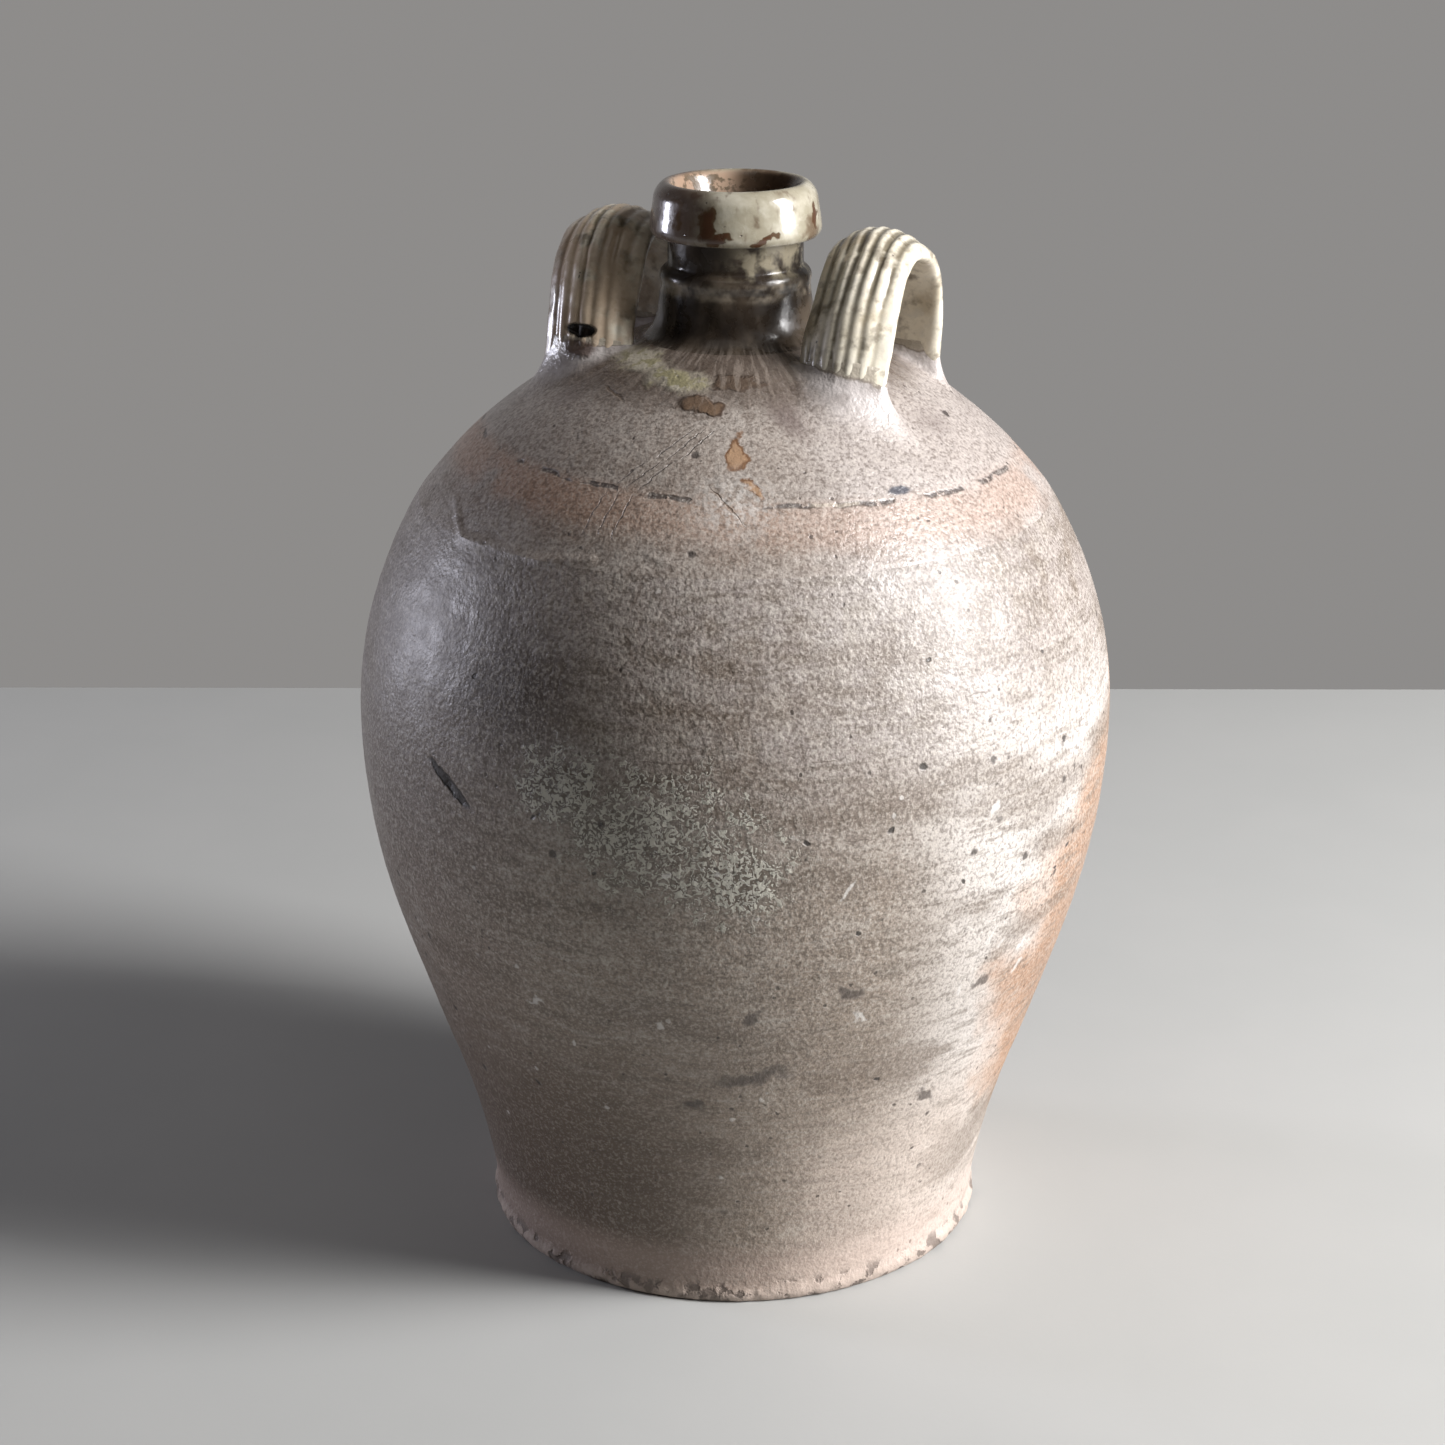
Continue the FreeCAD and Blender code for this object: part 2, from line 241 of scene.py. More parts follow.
def resample(line, spacing):
    """The same line with evenly spaced points, its ends kept."""
    along = np.concatenate([[0], np.cumsum(np.linalg.norm(np.diff(line, axis=0), axis=1))])
    count = max(2, int(round(along[-1] / spacing)) + 1)
    at = np.linspace(0, along[-1], count)
    return np.stack([np.interp(at, along, line[:, k]) for k in (0, 1)], axis=1)


def soften(line, radius, spacing):
    """Rounds the corners of an evenly spaced line over about radius mm, its ends kept."""
    reach = int(3 * radius / spacing)
    kernel = np.exp(-0.5 * (np.arange(-reach, reach + 1) * spacing / radius) ** 2)
    kernel /= kernel.sum()
    head = 2 * line[0] - line[reach:0:-1]
    tail = 2 * line[-1] - line[-2:-reach - 2:-1]
    padded = np.concatenate([head, line, tail])
    return np.stack([np.convolve(padded[:, k], kernel, "valid") for k in (0, 1)], axis=1)


FINE = 0.4  # spacing of the working outline


def pot_outline():
    """The whole pot's outline as one softened line, cut into its pieces' outer and inner sides."""
    body, dome, neck, collar = (section(n) for n in ("lower_body", "shoulder_dome", "neck", "rim_collar"))
    axis_points = sorted((p for p in body if p[0] < 0.01), key=lambda p: p[1])
    join_out, join_in = extreme(body, 1, 1), extreme(body, 1, -1)
    base_out, base_in = extreme(dome, 1, 1), extreme(dome, 1, -1)
    seat_out, seat_in = extreme(neck, 1, 1), extreme(neck, 1, -1)

    def nearest(near, point):
        return min(near, key=lambda p: math.dist(p, point))

    legs = [
        ("lower_body", walk(body, axis_points[0], join_out, True)),
        ("shoulder_dome", walk(dome, nearest(dome, join_out), base_out, True)),
        ("neck", walk(neck, nearest(neck, base_out), seat_out, True)),
        ("rim_collar", walk(collar, nearest(collar, seat_out), nearest(collar, seat_in), True)),
        ("neck", walk(neck, seat_in, extreme(neck, -1, -1), False)),
        ("shoulder_dome", walk(dome, base_in, nearest(dome, join_in), False)),
        ("lower_body", walk(body, join_in, axis_points[-1], False)),
    ]
    fine = [resample(line, FINE) for _, line in legs]
    whole = np.concatenate([line[:-1] for line in fine[:-1]] + [fine[-1]])
    whole = soften(whole, 0.8, FINE)
    whole[:, 0] = np.maximum(whole[:, 0], 0)
    cuts = np.concatenate([[0], np.cumsum([len(line) - 1 for line in fine])])
    tangent = np.gradient(whole, axis=0)
    tangent /= np.linalg.norm(tangent, axis=1)[:, None]
    outward = np.stack([tangent[:, 1], -tangent[:, 0]], axis=1)
    stretches = []
    for (node, _), first, last in zip(legs, cuts[:-1], cuts[1:]):
        stretches.append((node, whole[first:last + 1], outward[first:last + 1]))
    return stretches


# ---------------------------------------------------------------- relief of the thrown surface

def surface_frame(azimuth, height):
    """Point, east and up-slope directions on the pot's outside; azimuth 0 faces the front."""
    a = math.radians(azimuth)
    radius = np.interp(height, OUTSIDE[:, 1], OUTSIDE[:, 0])
    above = np.interp(height + 0.5, OUTSIDE[:, 1], OUTSIDE[:, 0])
    radial = np.array([math.sin(a), -math.cos(a), 0])
    east = np.array([math.cos(a), math.sin(a), 0])
    up = radial * (above - radius) * 2 + np.array([0, 0, 1.0])
    return radial * radius + np.array([0, 0, height]), east, up / np.linalg.norm(up)


def spot(points, azimuth, height, length, width, tilt=0.0, soft=1.0):
    """Mask from 0 to 1 of an oval mark length by width mm, its long side tilted from level."""
    centre, east, up = surface_frame(azimuth, height)
    t = math.radians(tilt)
    along = east * math.cos(t) + up * math.sin(t)
    across = up * math.cos(t) - east * math.sin(t)
    offset = points - centre
    away = np.hypot(offset @ along / (length / 2), offset @ across / (width / 2))
    depth = np.abs(offset @ np.cross(east, up)) > 25
    return np.where(depth, 0, 1 - smoothstep(1 - soft, 1, away))


def polyline_mask(points, stations, width):
    """Mask of a line of that width through (azimuth, height) stations on the outside."""
    best = np.full(len(points), 1e9)
    ends = [surface_frame(*station)[0] for station in stations]
    for a, b in zip(ends[:-1], ends[1:]):
        run = b - a
        share = np.clip((points - a) @ run / (run @ run), 0, 1)
        best = np.minimum(best, np.linalg.norm(points - a - share[:, None] * run, axis=1))
    return 1 - smoothstep(0, width, best)


# lines where clay was pushed along the join of belly and shoulder: (azimuth, share of the dome) stations,
# how proud the ridge stands and how wide it is
JOIN_RIDGES = (
    (((-65, 0.15), (-55, 0.0), (-35, 0.0), (-25, 0.05)), 0.55, 2.2),
    (((0, 0.1), (10, 0.1)), 0.45, 1.8),
    (((-15, 0.1), (-10, 0.05)), 0.35, 1.6),
)
SCAR = ((-50, 0.75), (-40, 0.7))  # ends of the slit in the belly: azimuth and share of the belly's height


def relief(points):
    """How far the outside stands proud of the true outline, in mm."""
    height = points[:, 2]
    azimuth = np.degrees(np.arctan2(points[:, 0], -points[:, 1]))
    low = 0.55 * noise(points, 95, 1) + 0.22 * noise(points, 34, 2) + 0.05 * noise(points, 9, 3)
    rings = np.stack([azimuth * 0.02, azimuth * 0, height], axis=1)
    throwing = 0.12 * noise(rings, 11, 4) + 0.05 * noise(rings, 3.5, 5)
    bare_neck = smoothstep(level("neck", 0.15), level("neck", 0.4), height)
    out = (low + throwing) * smoothstep(1.0, 10.0, height) * (1 - 0.6 * bare_neck)
    for stations, rise, width in JOIN_RIDGES:
        out += rise * polyline_mask(points, [(azimuth, level("shoulder_dome", share))
                                             for azimuth, share in stations], width)
    (left, upper), (right, lower) = SCAR
    scar_middle = level("lower_body", (upper + lower) / 2)
    out -= 1.1 * spot(points, (left + right) / 2, scar_middle, 12, 3.4, -40, 0.9)
    burr = smoothstep(8.5, 5.0, height) * (0.45 * noise(points, 7, 6, 2) + 0.25 * noise(points, 2.4, 7))
    chips = np.minimum(0, noise(points, 11, 8, 2) + 0.25) * 1.6 * smoothstep(6.5, 3.5, height)
    edge = smoothstep(0.0, 1.2, height)
    out += (burr + chips) * edge
    return out


def displaced(profile, outward, columns, amount):
    """Rings of points, in mm, of a turned profile pushed out by the relief times amount."""
    angle = np.linspace(0, 2 * np.pi, columns, endpoint=False)
    ring = np.stack([np.cos(angle), np.sin(angle)], axis=1)
    points = np.concatenate([
        profile[:, None, :1] * ring[None], np.repeat(profile[:, None, 1:], columns, axis=1)], axis=2)
    normal = np.concatenate([
        outward[:, None, :1] * ring[None], np.repeat(outward[:, None, 1:], columns, axis=1)], axis=2)
    flat, push = points.reshape(-1, 3), normal.reshape(-1, 3)
    if amount:
        flat = flat + push * (amount * relief(flat))[:, None]
    return flat.reshape(len(profile), columns, 3)


# ---------------------------------------------------------------- meshes

def enclosed(points, quads, triangles):
    """Volume inside a closed mesh, negative if its faces look inwards."""
    corners = np.concatenate([quads[:, [0, 1, 2]], quads[:, [0, 2, 3]], triangles])
    a, b, c = (points[corners[:, k]] for k in range(3))
    return float(np.sum(a * np.cross(b, c)))


def make_object(name, points, quads, triangles, sharp_rings=(), columns=0, attributes=None):
    """Smooth-shaded mesh object from points in mm; edges along sharp_rings stay crisp."""
    triangles = np.asarray(triangles, int).reshape(-1, 3)
    if enclosed(points, quads, triangles) < 0:
        quads, triangles = quads[:, ::-1], triangles[:, ::-1]
    mesh = bpy.data.meshes.new(name)
    mesh.vertices.add(len(points))
    mesh.vertices.foreach_set("co", (points * MM).ravel())
    loops = np.concatenate([quads.ravel(), triangles.ravel()])
    mesh.loops.add(len(loops))
    mesh.loops.foreach_set("vertex_index", loops.astype(np.int32))
    mesh.polygons.add(len(quads) + len(triangles))
    starts = np.concatenate([np.arange(len(quads)) * 4, len(quads) * 4 + np.arange(len(triangles)) * 3])
    mesh.polygons.foreach_set("loop_start", starts.astype(np.int32))
    mesh.update(calc_edges=True)
    mesh.polygons.foreach_set("use_smooth", np.ones(len(starts), bool))
    if len(sharp_rings):
        ends = np.zeros(len(mesh.edges) * 2, np.int32)
        mesh.edges.foreach_get("vertices", ends)
        rows = ends.reshape(-1, 2) // columns
        crisp = (rows[:, 0] == rows[:, 1]) & np.isin(rows[:, 0], sharp_rings)
        mesh.attributes.new("sharp_edge", "BOOLEAN", "EDGE").data.foreach_set("value", crisp)
    for key, values in (attributes or {}).items():
        mesh.attributes.new(key, "FLOAT", "POINT").data.foreach_set("value", values.astype(np.float32))
    mesh.validate()
    mesh.update()
    thing = bpy.data.objects.new(name, mesh)
    bpy.context.scene.collection.objects.link(thing)
    return thing


def grid_faces(rows, columns, closed=True):
    """Quads between neighbouring rings, wrapped round; with closed, the last ring meets the first."""
    row = np.arange(rows if closed else rows - 1)[:, None]
    col = np.arange(columns)[None]
    a = row * columns + col
    b = row * columns + (col + 1) % columns
    c = (row + 1) % rows * columns + (col + 1) % columns
    d = (row + 1) % rows * columns + col
    return np.stack([a, b, c, d], axis=2).reshape(-1, 4)


def turned_piece(node, columns, spacing, inner_spacing):
    """Detailed mesh for a thrown CAD node from its stretches of the pot's outline."""
    rings, sharp = [], []
    poles = []
    for name, profile, outward in OUTLINE:
        if name != node:
            continue
        outside = name == "rim_collar" or not sharp
        step = max(1, int(round((spacing if outside else inner_spacing) / FINE)))
        pick = np.unique(np.concatenate([np.arange(0, len(profile), step), [len(profile) - 1]]))
        profile, outward = profile[pick], outward[pick]
        for end in (0, -1):
            if profile[end, 0] < 1.0:
                poles.append((end, profile[end, 1]))
        clear = profile[:, 0] > 1.0
        profile, outward = profile[clear], outward[clear]
        sharp.append(len(rings))
        rings += list(displaced(profile, outward, columns, 1.0 if outside else 0.4))
        sharp.append(len(rings) - 1)
    points = np.concatenate(rings)
    quads = grid_faces(len(rings), columns, closed=not poles)
    ring = np.arange(columns)
    after = (ring + 1) % columns
    caps = []
    for end, height in poles:
        base = 0 if end == 0 else (len(rings) - 1) * columns
        centre = np.full(columns, len(points))
        points = np.concatenate([points, [[0, 0, height]]])
        pair = (base + after, base + ring) if end == 0 else (base + ring, base + after)
        caps.append(np.stack([centre, *pair], axis=1))
        sharp = [row for row in sharp if row * columns != base]
    triangles = np.concatenate(caps) if caps else []
    return make_object(f"{node}_fired", points, quads, triangles, sharp, columns)


# ---------------------------------------------------------------- strap handles and their feet

STRAP_ROOT = 6.0  # how far a strap runs on below the surface of the dome
STRAP_ROWS = 230


def strap_plane(side):
    """Width of a CAD strap and the upright plane along its middle: a point and a direction, in mm."""
    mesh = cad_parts[f"handle_{side}"].data
    corners = np.zeros(len(mesh.vertices) * 3)
    mesh.vertices.foreach_get("co", corners)
    turns = np.radians(np.arange(0, 180, 0.5))
    sideways = np.stack([-np.sin(turns), np.cos(turns)])
    across = corners.reshape(-1, 3)[:, :2] / MM @ sideways
    widths = np.ptp(across, axis=0)
    slim = int(np.argmin(widths))
    offset = (across[:, slim].max() + across[:, slim].min()) / 2
    return widths[slim], offset * sideways[:, slim], np.array([np.cos(turns[slim]), np.sin(turns[slim])])


def measured_strap(side):
    """A CAD strap's own plane, its middle line in that plane from back foot to front foot, and its sizes."""
    width, origin, along = strap_plane(side)
    near = section(f"handle_{side}", origin, along, half=False)
    stations = np.array(list(near))
    ground = dome_height(origin + stations[:, :1] * along)
    landed = [tuple(p) for p in stations[np.abs(stations[:, 1] - ground) < 0.5]]
    back = sorted((p for p in landed if p[0] > 0), key=lambda p: p[1])
    front = sorted((p for p in landed if p[0] < 0), key=lambda p: p[1])
    top = walk(near, back[0], front[0], True, axis=1)
    under = walk(near, back[-1], front[-1], False, axis=1)
    top, under = (resample(line, length_of(line) / (STRAP_ROWS - 1)) for line in (top, under))
    middle = (top + under) / 2
    roots = []
    for end, inner in ((0, 8), (-1, -9)):
        run = (middle[end] - middle[inner]) / np.linalg.norm(middle[end] - middle[inner])
        roots.append(middle[end] + run * np.linspace(STRAP_ROOT, 0, 12)[:-1, None])
    line = np.concatenate([roots[0], middle, roots[1][::-1]])
    spacing = length_of(line) / (STRAP_ROWS - 1)
    line = soften(resample(line, spacing), 2.5, spacing)
    heading = np.gradient(line, axis=0)
    heading /= np.linalg.norm(heading, axis=1)[:, None]
    crown = len(middle) // 2
    return {
        "origin": origin, "along": along, "half_width": width / 2, "line": line,
        "out": np.stack([heading[:, 1], -heading[:, 0]], axis=1),
        "thickness": float(np.linalg.norm(top[crown] - under[crown])),
        "front_foot": (front[0][1] + front[-1][1]) / 2,
    }


def strap_loop(half_width, thickness):
    """Strap section as across and outward distances, with the depth of the ribs on its back."""
    s = np.linspace(-1, 1, 84)
    depth = np.zeros(len(s))
    for rib in range(6):
        deep = 0.9 + 0.3 * (rib % 2)
        depth += deep * np.exp(-((s - 0.29 * (rib - 2.5)) / 0.08) ** 2)
    edge_out, inside = -0.146 * thickness, -0.5 * thickness
    back = np.stack([half_width * s, (0.5 - 0.646 * s * s) * thickness], axis=1)
    turn = np.linspace(0, 1, 13)[1:, None]
    edge = ((1 - turn) ** 2 * np.array([half_width, edge_out])
            + 2 * turn * (1 - turn) * np.array([1.06 * half_width, inside])
            + turn ** 2 * np.array([0.775 * half_width, inside]))
    flat_width = 0.775 * half_width
    flat = np.stack([np.linspace(flat_width, -flat_width, 26)[1:-1], np.full(24, inside)], axis=1)
    far = edge[::-1] * [-1, 1]
    loop = np.concatenate([back, edge, flat, far])
    grooved = np.concatenate([depth, np.zeros(len(loop) - len(back))])
    return loop, grooved


def to_world(strap, local):
    """World point in mm of a point given along, across and above a strap's plane."""
    along, sideways = strap["along"], np.array([-strap["along"][1], strap["along"][0]])
    flat = strap["origin"] + local[..., :1] * along + local[..., 1:2] * sideways
    return np.concatenate([flat, local[..., 2:]], axis=-1)


def strap_surface(side):
    """Uneven world points of a strap, one row per section, and how deep each lies in a groove."""
    strap = STRAPS[side]
    line, out = strap["line"], strap["out"]
    loop, grooved = strap_loop(strap["half_width"], strap["thickness"])
    rows = len(line)
    seed = 20 if side == "left" else 30
    travel = np.linspace(0, 1, rows)
    wander = noise(np.stack([travel * 100, travel * 0, travel * 0], axis=1), 30, seed)
    across = loop[None, :, 0] * (1 + 0.05 * wander[:, None]) + 0.5 * wander[:, None]
    fade = 0.75 + 0.5 * noise(np.stack([travel * 100, travel * 0 + 9, travel * 0], axis=1), 22, seed + 1)
    worn = grooved[None] * fade[:, None]
    lift = loop[None, :, 1] - worn
    local = np.stack([
        line[:, None, 0] + out[:, None, 0] * lift,
        across,
        line[:, None, 1] + out[:, None, 1] * lift], axis=2)
    world = to_world(strap, local)
    flat = world.reshape(-1, 3)
    push = np.stack([
        far * noise(flat, long, seed + first) + 0.22 * noise(flat, short, seed + first + 1, 2)
        for far, long, short, first in ((0.55, 17, 6, 2), (0.55, 17, 6, 4), (0.45, 14, 5, 6))], axis=1)
    return (flat + push).reshape(world.shape), worn


def loft(name, rings, attribute, values):
    """Closed mesh through a stack of rings, both ends capped, with a value at every point."""
    count, columns = rings.shape[:2]
    points = np.concatenate([rings.reshape(-1, 3), [rings[0].mean(axis=0), rings[-1].mean(axis=0)]])
    ring = np.arange(columns)
    after = (ring + 1) % columns
    last_ring = (count - 1) * columns
    first = np.stack([np.full(columns, len(points) - 2), after, ring], axis=1)
    last = np.stack([np.full(columns, len(points) - 1), last_ring + ring, last_ring + after], axis=1)
    return make_object(name, points, grid_faces(count, columns, closed=False),
                       np.concatenate([first, last]), attributes={attribute: values})


def build_strap(side):
    rows, worn = strap_surface(side)
    return loft(f"handle_{side}_fired", rows, "groove", np.concatenate([worn.ravel(), [0, 0]]))


PAD_RISE = 7.5  # height above the dome at which the strap's clay begins to spread
PAD_SPREAD = {
    ("left", "front"): (8.0, 15.0), ("left", "back"): (4.0, 8.0),
    ("right", "front"): (9.0, 19.0), ("right", "back"): (4.5, 11.0),
}


def dome_height(points):
    radius = np.linalg.norm(points[..., :2], axis=-1)
    order = np.argsort(OUTSIDE[:, 0])
    heights = OUTSIDE[order][:, 1]
    upper = OUTSIDE[order][(heights > level("shoulder_dome", 0)) & (heights < level("neck", 0.2))]
    return np.interp(radius, upper[:, 0], upper[:, 1])


def smoothed_loop(loop):
    """Closed loop of points with the ribs rubbed out."""
    for _ in range(30):
        loop = 0.5 * loop + 0.25 * (np.roll(loop, 1, axis=0) + np.roll(loop, -1, axis=0))
    return loop


def on_dome(points):
    """The points moved straight up or down onto the uneven surface of the shoulder."""
    settled = points.copy()
    settled[:, 2] = dome_height(points)
    settled[:, 2] += relief(settled)
    return settled


def build_pad(side, end):
    """Clay spread from a strap's foot onto the dome, as a skirt round the strap."""
    rows, _ = strap_surface(side)
    rows = rows if end == "back" else rows[::-1]
    middle = rows.mean(axis=1)
    above = middle[:, 2] - dome_height(middle)
    start = int(np.argmax(above > PAD_RISE))
    top, below = smoothed_loop(rows[start]), smoothed_loop(rows[0])
    centre = middle[start]
    outward = top[:, :2] - middle[start][:2]
    outward /= np.linalg.norm(outward, axis=1)[:, None]
    radial = centre[:2] / np.linalg.norm(centre[:2])
    downhill = 0.5 + 0.5 * outward @ radial
    inner, outer = PAD_SPREAD[side, end]
    ragged = 1 + 0.22 * noise(top, 12, 50, 2)
    spread = (inner + (outer - inner) * downhill ** 1.3) * ragged
    fall = (top - below) / np.linalg.norm(top - below, axis=1)[:, None]
    knee = top - fall * ((top[:, 2] - dome_height(top)) / fall[:, 2] * 0.93)[:, None]
    rim = knee.copy()
    rim[:, :2] += outward * spread[:, None]
    rim = on_dome(rim) - [0, 0, 0.2]
    hidden = centre + (top - centre) * 0.82 + [0, 0, 1.5]
    rings = [hidden]
    for t in np.linspace(0, 1, 22):
        rings.append((1 - t) ** 2 * (centre + (top - centre) * 1.01) + 2 * t * (1 - t) * knee + t * t * rim)
    under = rim.copy()
    under[:, 2] -= 3.0
    rings.append(under)
    shape = np.array(rings)
    flat = shape[1:-2].reshape(-1, 3)
    lift = 0.35 * noise(flat, 9, 51, 2) + 0.12 * noise(flat, 3, 52)
    fade = np.linspace(1, 0, len(shape) - 3)[:, None, None]
    shape[1:-2] += fade * (lift[:, None] * np.array([0, 0, 1.0])).reshape(shape[1:-2].shape)
    count, columns = shape.shape[:2]
    spread_out = np.concatenate([np.repeat(np.linspace(0, 1, count), columns), [0, 1]])
    return loft(f"handle_{side}_{end}_pad_fired", shape, "spread", spread_out)


# ---------------------------------------------------------------- glazes

class Glaze:
    """Node graph of one fired surface, with all its distances in millimetres on the pot.

    Marks are placed by an azimuth in degrees from the front and a share of their CAD piece's height.
    """

    def __init__(self, name, colour, node=None):
        self.material = bpy.data.materials.new(name)
        self.material.use_nodes = True
        self.tree = self.material.node_tree
        self.tree.nodes.clear()
        coordinates = self.node("ShaderNodeTexCoord")
        scale = self.node("ShaderNodeVectorMath", operation="SCALE")
        self.tree.links.new(coordinates.outputs["Object"], scale.inputs[0])
        scale.inputs["Scale"].default_value = 1000
        self.place = scale.outputs[0]
        split = self.node("ShaderNodeSeparateXYZ")
        self.tree.links.new(self.place, split.inputs[0])
        self.x, self.y, self.height = split.outputs
        self.piece = node
        if node:
            base, top = level(node, 0), level(node, 1)
            self.share = self.math("DIVIDE", self.math("SUBTRACT", self.height, base), top - base)
        turn = self.math("ARCTAN2", self.x, self.math("MULTIPLY", self.y, -1.0))
        self.azimuth = self.math("MULTIPLY", turn, math.degrees(1))
        self.colour = colour
        self.bump = 0.0
        self.shine = 0.45
        self.ragged_place = self.shaken(3.3, 1.2)
        self.torn_place = self.shaken(7.0, 6.5)

    def shaken(self, size, reach):
        """Place pushed about by noise, so that marks laid out there get uneven outlines."""
        wobble = self.node("ShaderNodeTexNoise")
        self.put(self.place, wobble.inputs["Vector"])
        wobble.inputs["Scale"].default_value = 1 / size
        wobble.inputs["Detail"].default_value = 3
        shift = self.node("ShaderNodeVectorMath", operation="MULTIPLY_ADD")
        self.put(wobble.outputs["Color"], shift.inputs[0])
        shift.inputs[1].default_value = (2 * reach,) * 3
        shift.inputs[2].default_value = (-reach,) * 3
        near = self.node("ShaderNodeVectorMath", operation="ADD")
        self.put(self.place, near.inputs[0])
        self.put(shift.outputs[0], near.inputs[1])
        return near.outputs[0]

    def node(self, kind, **settings):
        made = self.tree.nodes.new(kind)
        for key, value in settings.items():
            setattr(made, key, value)
        return made

    def put(self, value, socket):
        if isinstance(value, bpy.types.NodeSocket):
            self.tree.links.new(value, socket)
        elif socket.type == "RGBA":
            socket.default_value = (*value[:3], 1)
        else:
            socket.default_value = value

    def math(self, operation, a, b=0.0):
        made = self.node("ShaderNodeMath", operation=operation)
        self.put(a, made.inputs[0])
        self.put(b, made.inputs[1])
        return made.outputs[0]

    def plus(self, a, b):
        return self.math("ADD", a, b)

    def minus(self, a, b):
        return self.math("SUBTRACT", a, b)

    def times(self, *factors):
        total = factors[0]
        for factor in factors[1:]:
            total = self.math("MULTIPLY", total, factor)
        return total

    def most(self, values):
        total = values[0]
        for value in values[1:]:
            total = self.math("MAXIMUM", total, value)
        return total

    def ramp(self, low, high, value):
        """Eases from 0 at low to 1 at high; low may lie above high."""
        made = self.node("ShaderNodeMapRange", interpolation_type="SMOOTHSTEP")
        self.put(value, made.inputs["Value"])
        flip = low > high
        made.inputs["From Min"].default_value = min(low, high)
        made.inputs["From Max"].default_value = max(low, high)
        made.inputs["To Min"].default_value = 1.0 if flip else 0.0
        made.inputs["To Max"].default_value = 0.0 if flip else 1.0
        return made.outputs["Result"]

    def window(self, low, high, soft, value):
        """1 between low and high, easing to 0 outside them."""
        return self.times(self.ramp(low - soft, low + soft, value),
                          self.ramp(high + soft, high - soft, value))

    def wrapped(self, stretch):
        """Place on a slimmer pot, so that noise taken there is stretched that much round the wall."""
        flat = self.node("ShaderNodeCombineXYZ")
        self.put(self.x, flat.inputs[0])
        self.put(self.y, flat.inputs[1])
        ring = self.node("ShaderNodeVectorMath", operation="NORMALIZE")
        self.put(flat.outputs[0], ring.inputs[0])
        made = self.node("ShaderNodeVectorMath", operation="MULTIPLY_ADD")
        self.put(ring.outputs[0], made.inputs[0])
        made.inputs[1].default_value = (126 / stretch,) * 3
        lift = self.node("ShaderNodeCombineXYZ")
        self.put(self.height, lift.inputs[2])
        self.put(lift.outputs[0], made.inputs[2])
        return made.outputs[0]

    def noise(self, size, detail=3.0, seed=0, stretch=(1, 1, 1), roughness=0.55, twist=0.0, place=None):
        """Noise from 0 to 1 with features about size mm across."""
        mapping = self.node("ShaderNodeMapping")
        self.put(place or self.place, mapping.inputs["Vector"])
        mapping.inputs["Location"].default_value = (seed * 3.7, seed * 9.1, seed * 5.3)
        mapping.inputs["Scale"].default_value = tuple(1 / (size * s) for s in stretch)
        made = self.node("ShaderNodeTexNoise")
        self.put(mapping.outputs[0], made.inputs["Vector"])
        made.inputs["Scale"].default_value = 1
        made.inputs["Detail"].default_value = detail
        made.inputs["Roughness"].default_value = roughness
        made.inputs["Distortion"].default_value = twist
        return made.outputs["Fac"]

    def patches(self, low, high, *noise, **options):
        """Uneven patches: noise eased from 0 at low to 1 at high."""
        return self.ramp(low, high, self.noise(*noise, **options))

    def sway(self, reach, *noise, **options):
        """Noise from minus half to plus half of reach."""
        return self.times(self.minus(self.noise(*noise, **options), 0.5), reach)

    def cells(self, size, seed=0):
        """Distance, in cells, to the nearest scattered point, the points about size mm apart."""
        mapping = self.node("ShaderNodeMapping")
        self.put(self.ragged_place, mapping.inputs["Vector"])
        mapping.inputs["Location"].default_value = (seed * 2.3, seed * 4.9, seed * 7.7)
        mapping.inputs["Scale"].default_value = (1 / size,) * 3
        made = self.node("ShaderNodeTexVoronoi", feature="F1")
        self.put(mapping.outputs[0], made.inputs["Vector"])
        made.inputs["Scale"].default_value = 1
        return made.outputs["Distance"]

    def spot(self, azimuth, share, length, width, tilt=0.0, soft=0.5, place=None):
        """Mask of an oval mark, length by width mm, its long side tilted up from level."""
        where = surface_frame(azimuth, level(self.piece, share))
        return self.oval(*where, length, width, tilt, soft, place)

    def oval(self, centre, east, up, length, width, tilt=0.0, soft=0.5, place=None):
        """Mask of an oval mark round any centre, in the plane of two directions."""
        made = self.node("ShaderNodeMapping", vector_type="TEXTURE")
        self.put(place or self.ragged_place, made.inputs["Vector"])
        t = math.radians(tilt)
        along = east * math.cos(t) + up * math.sin(t)
        across = up * math.cos(t) - east * math.sin(t)
        turn = np.stack([along, across, np.cross(along, across)], axis=1)
        made.inputs["Location"].default_value = tuple(centre)
        made.inputs["Rotation"].default_value = Matrix(turn.tolist()).to_euler()
        made.inputs["Scale"].default_value = (length / 2, width / 2, max(14, length / 2, width / 2))
        away = self.node("ShaderNodeVectorMath", operation="LENGTH")
        self.put(made.outputs[0], away.inputs[0])
        return self.ramp(1.0, 1.0 - soft, away.outputs["Value"])

    def stroke(self, first, last, width, soft=0.5, place=None):
        """Mask of a thin straight mark between two (azimuth, share) places."""
        a, east, up = surface_frame(first[0], level(self.piece, first[1]))
        b = surface_frame(last[0], level(self.piece, last[1]))[0]
        middle = ((first[0] + last[0]) / 2, (first[1] + last[1]) / 2)
        run = b - a
        tilt = math.degrees(math.atan2(run @ up, run @ east))
        return self.spot(*middle, float(np.linalg.norm(run)) * 1.12, width, tilt, soft, place)

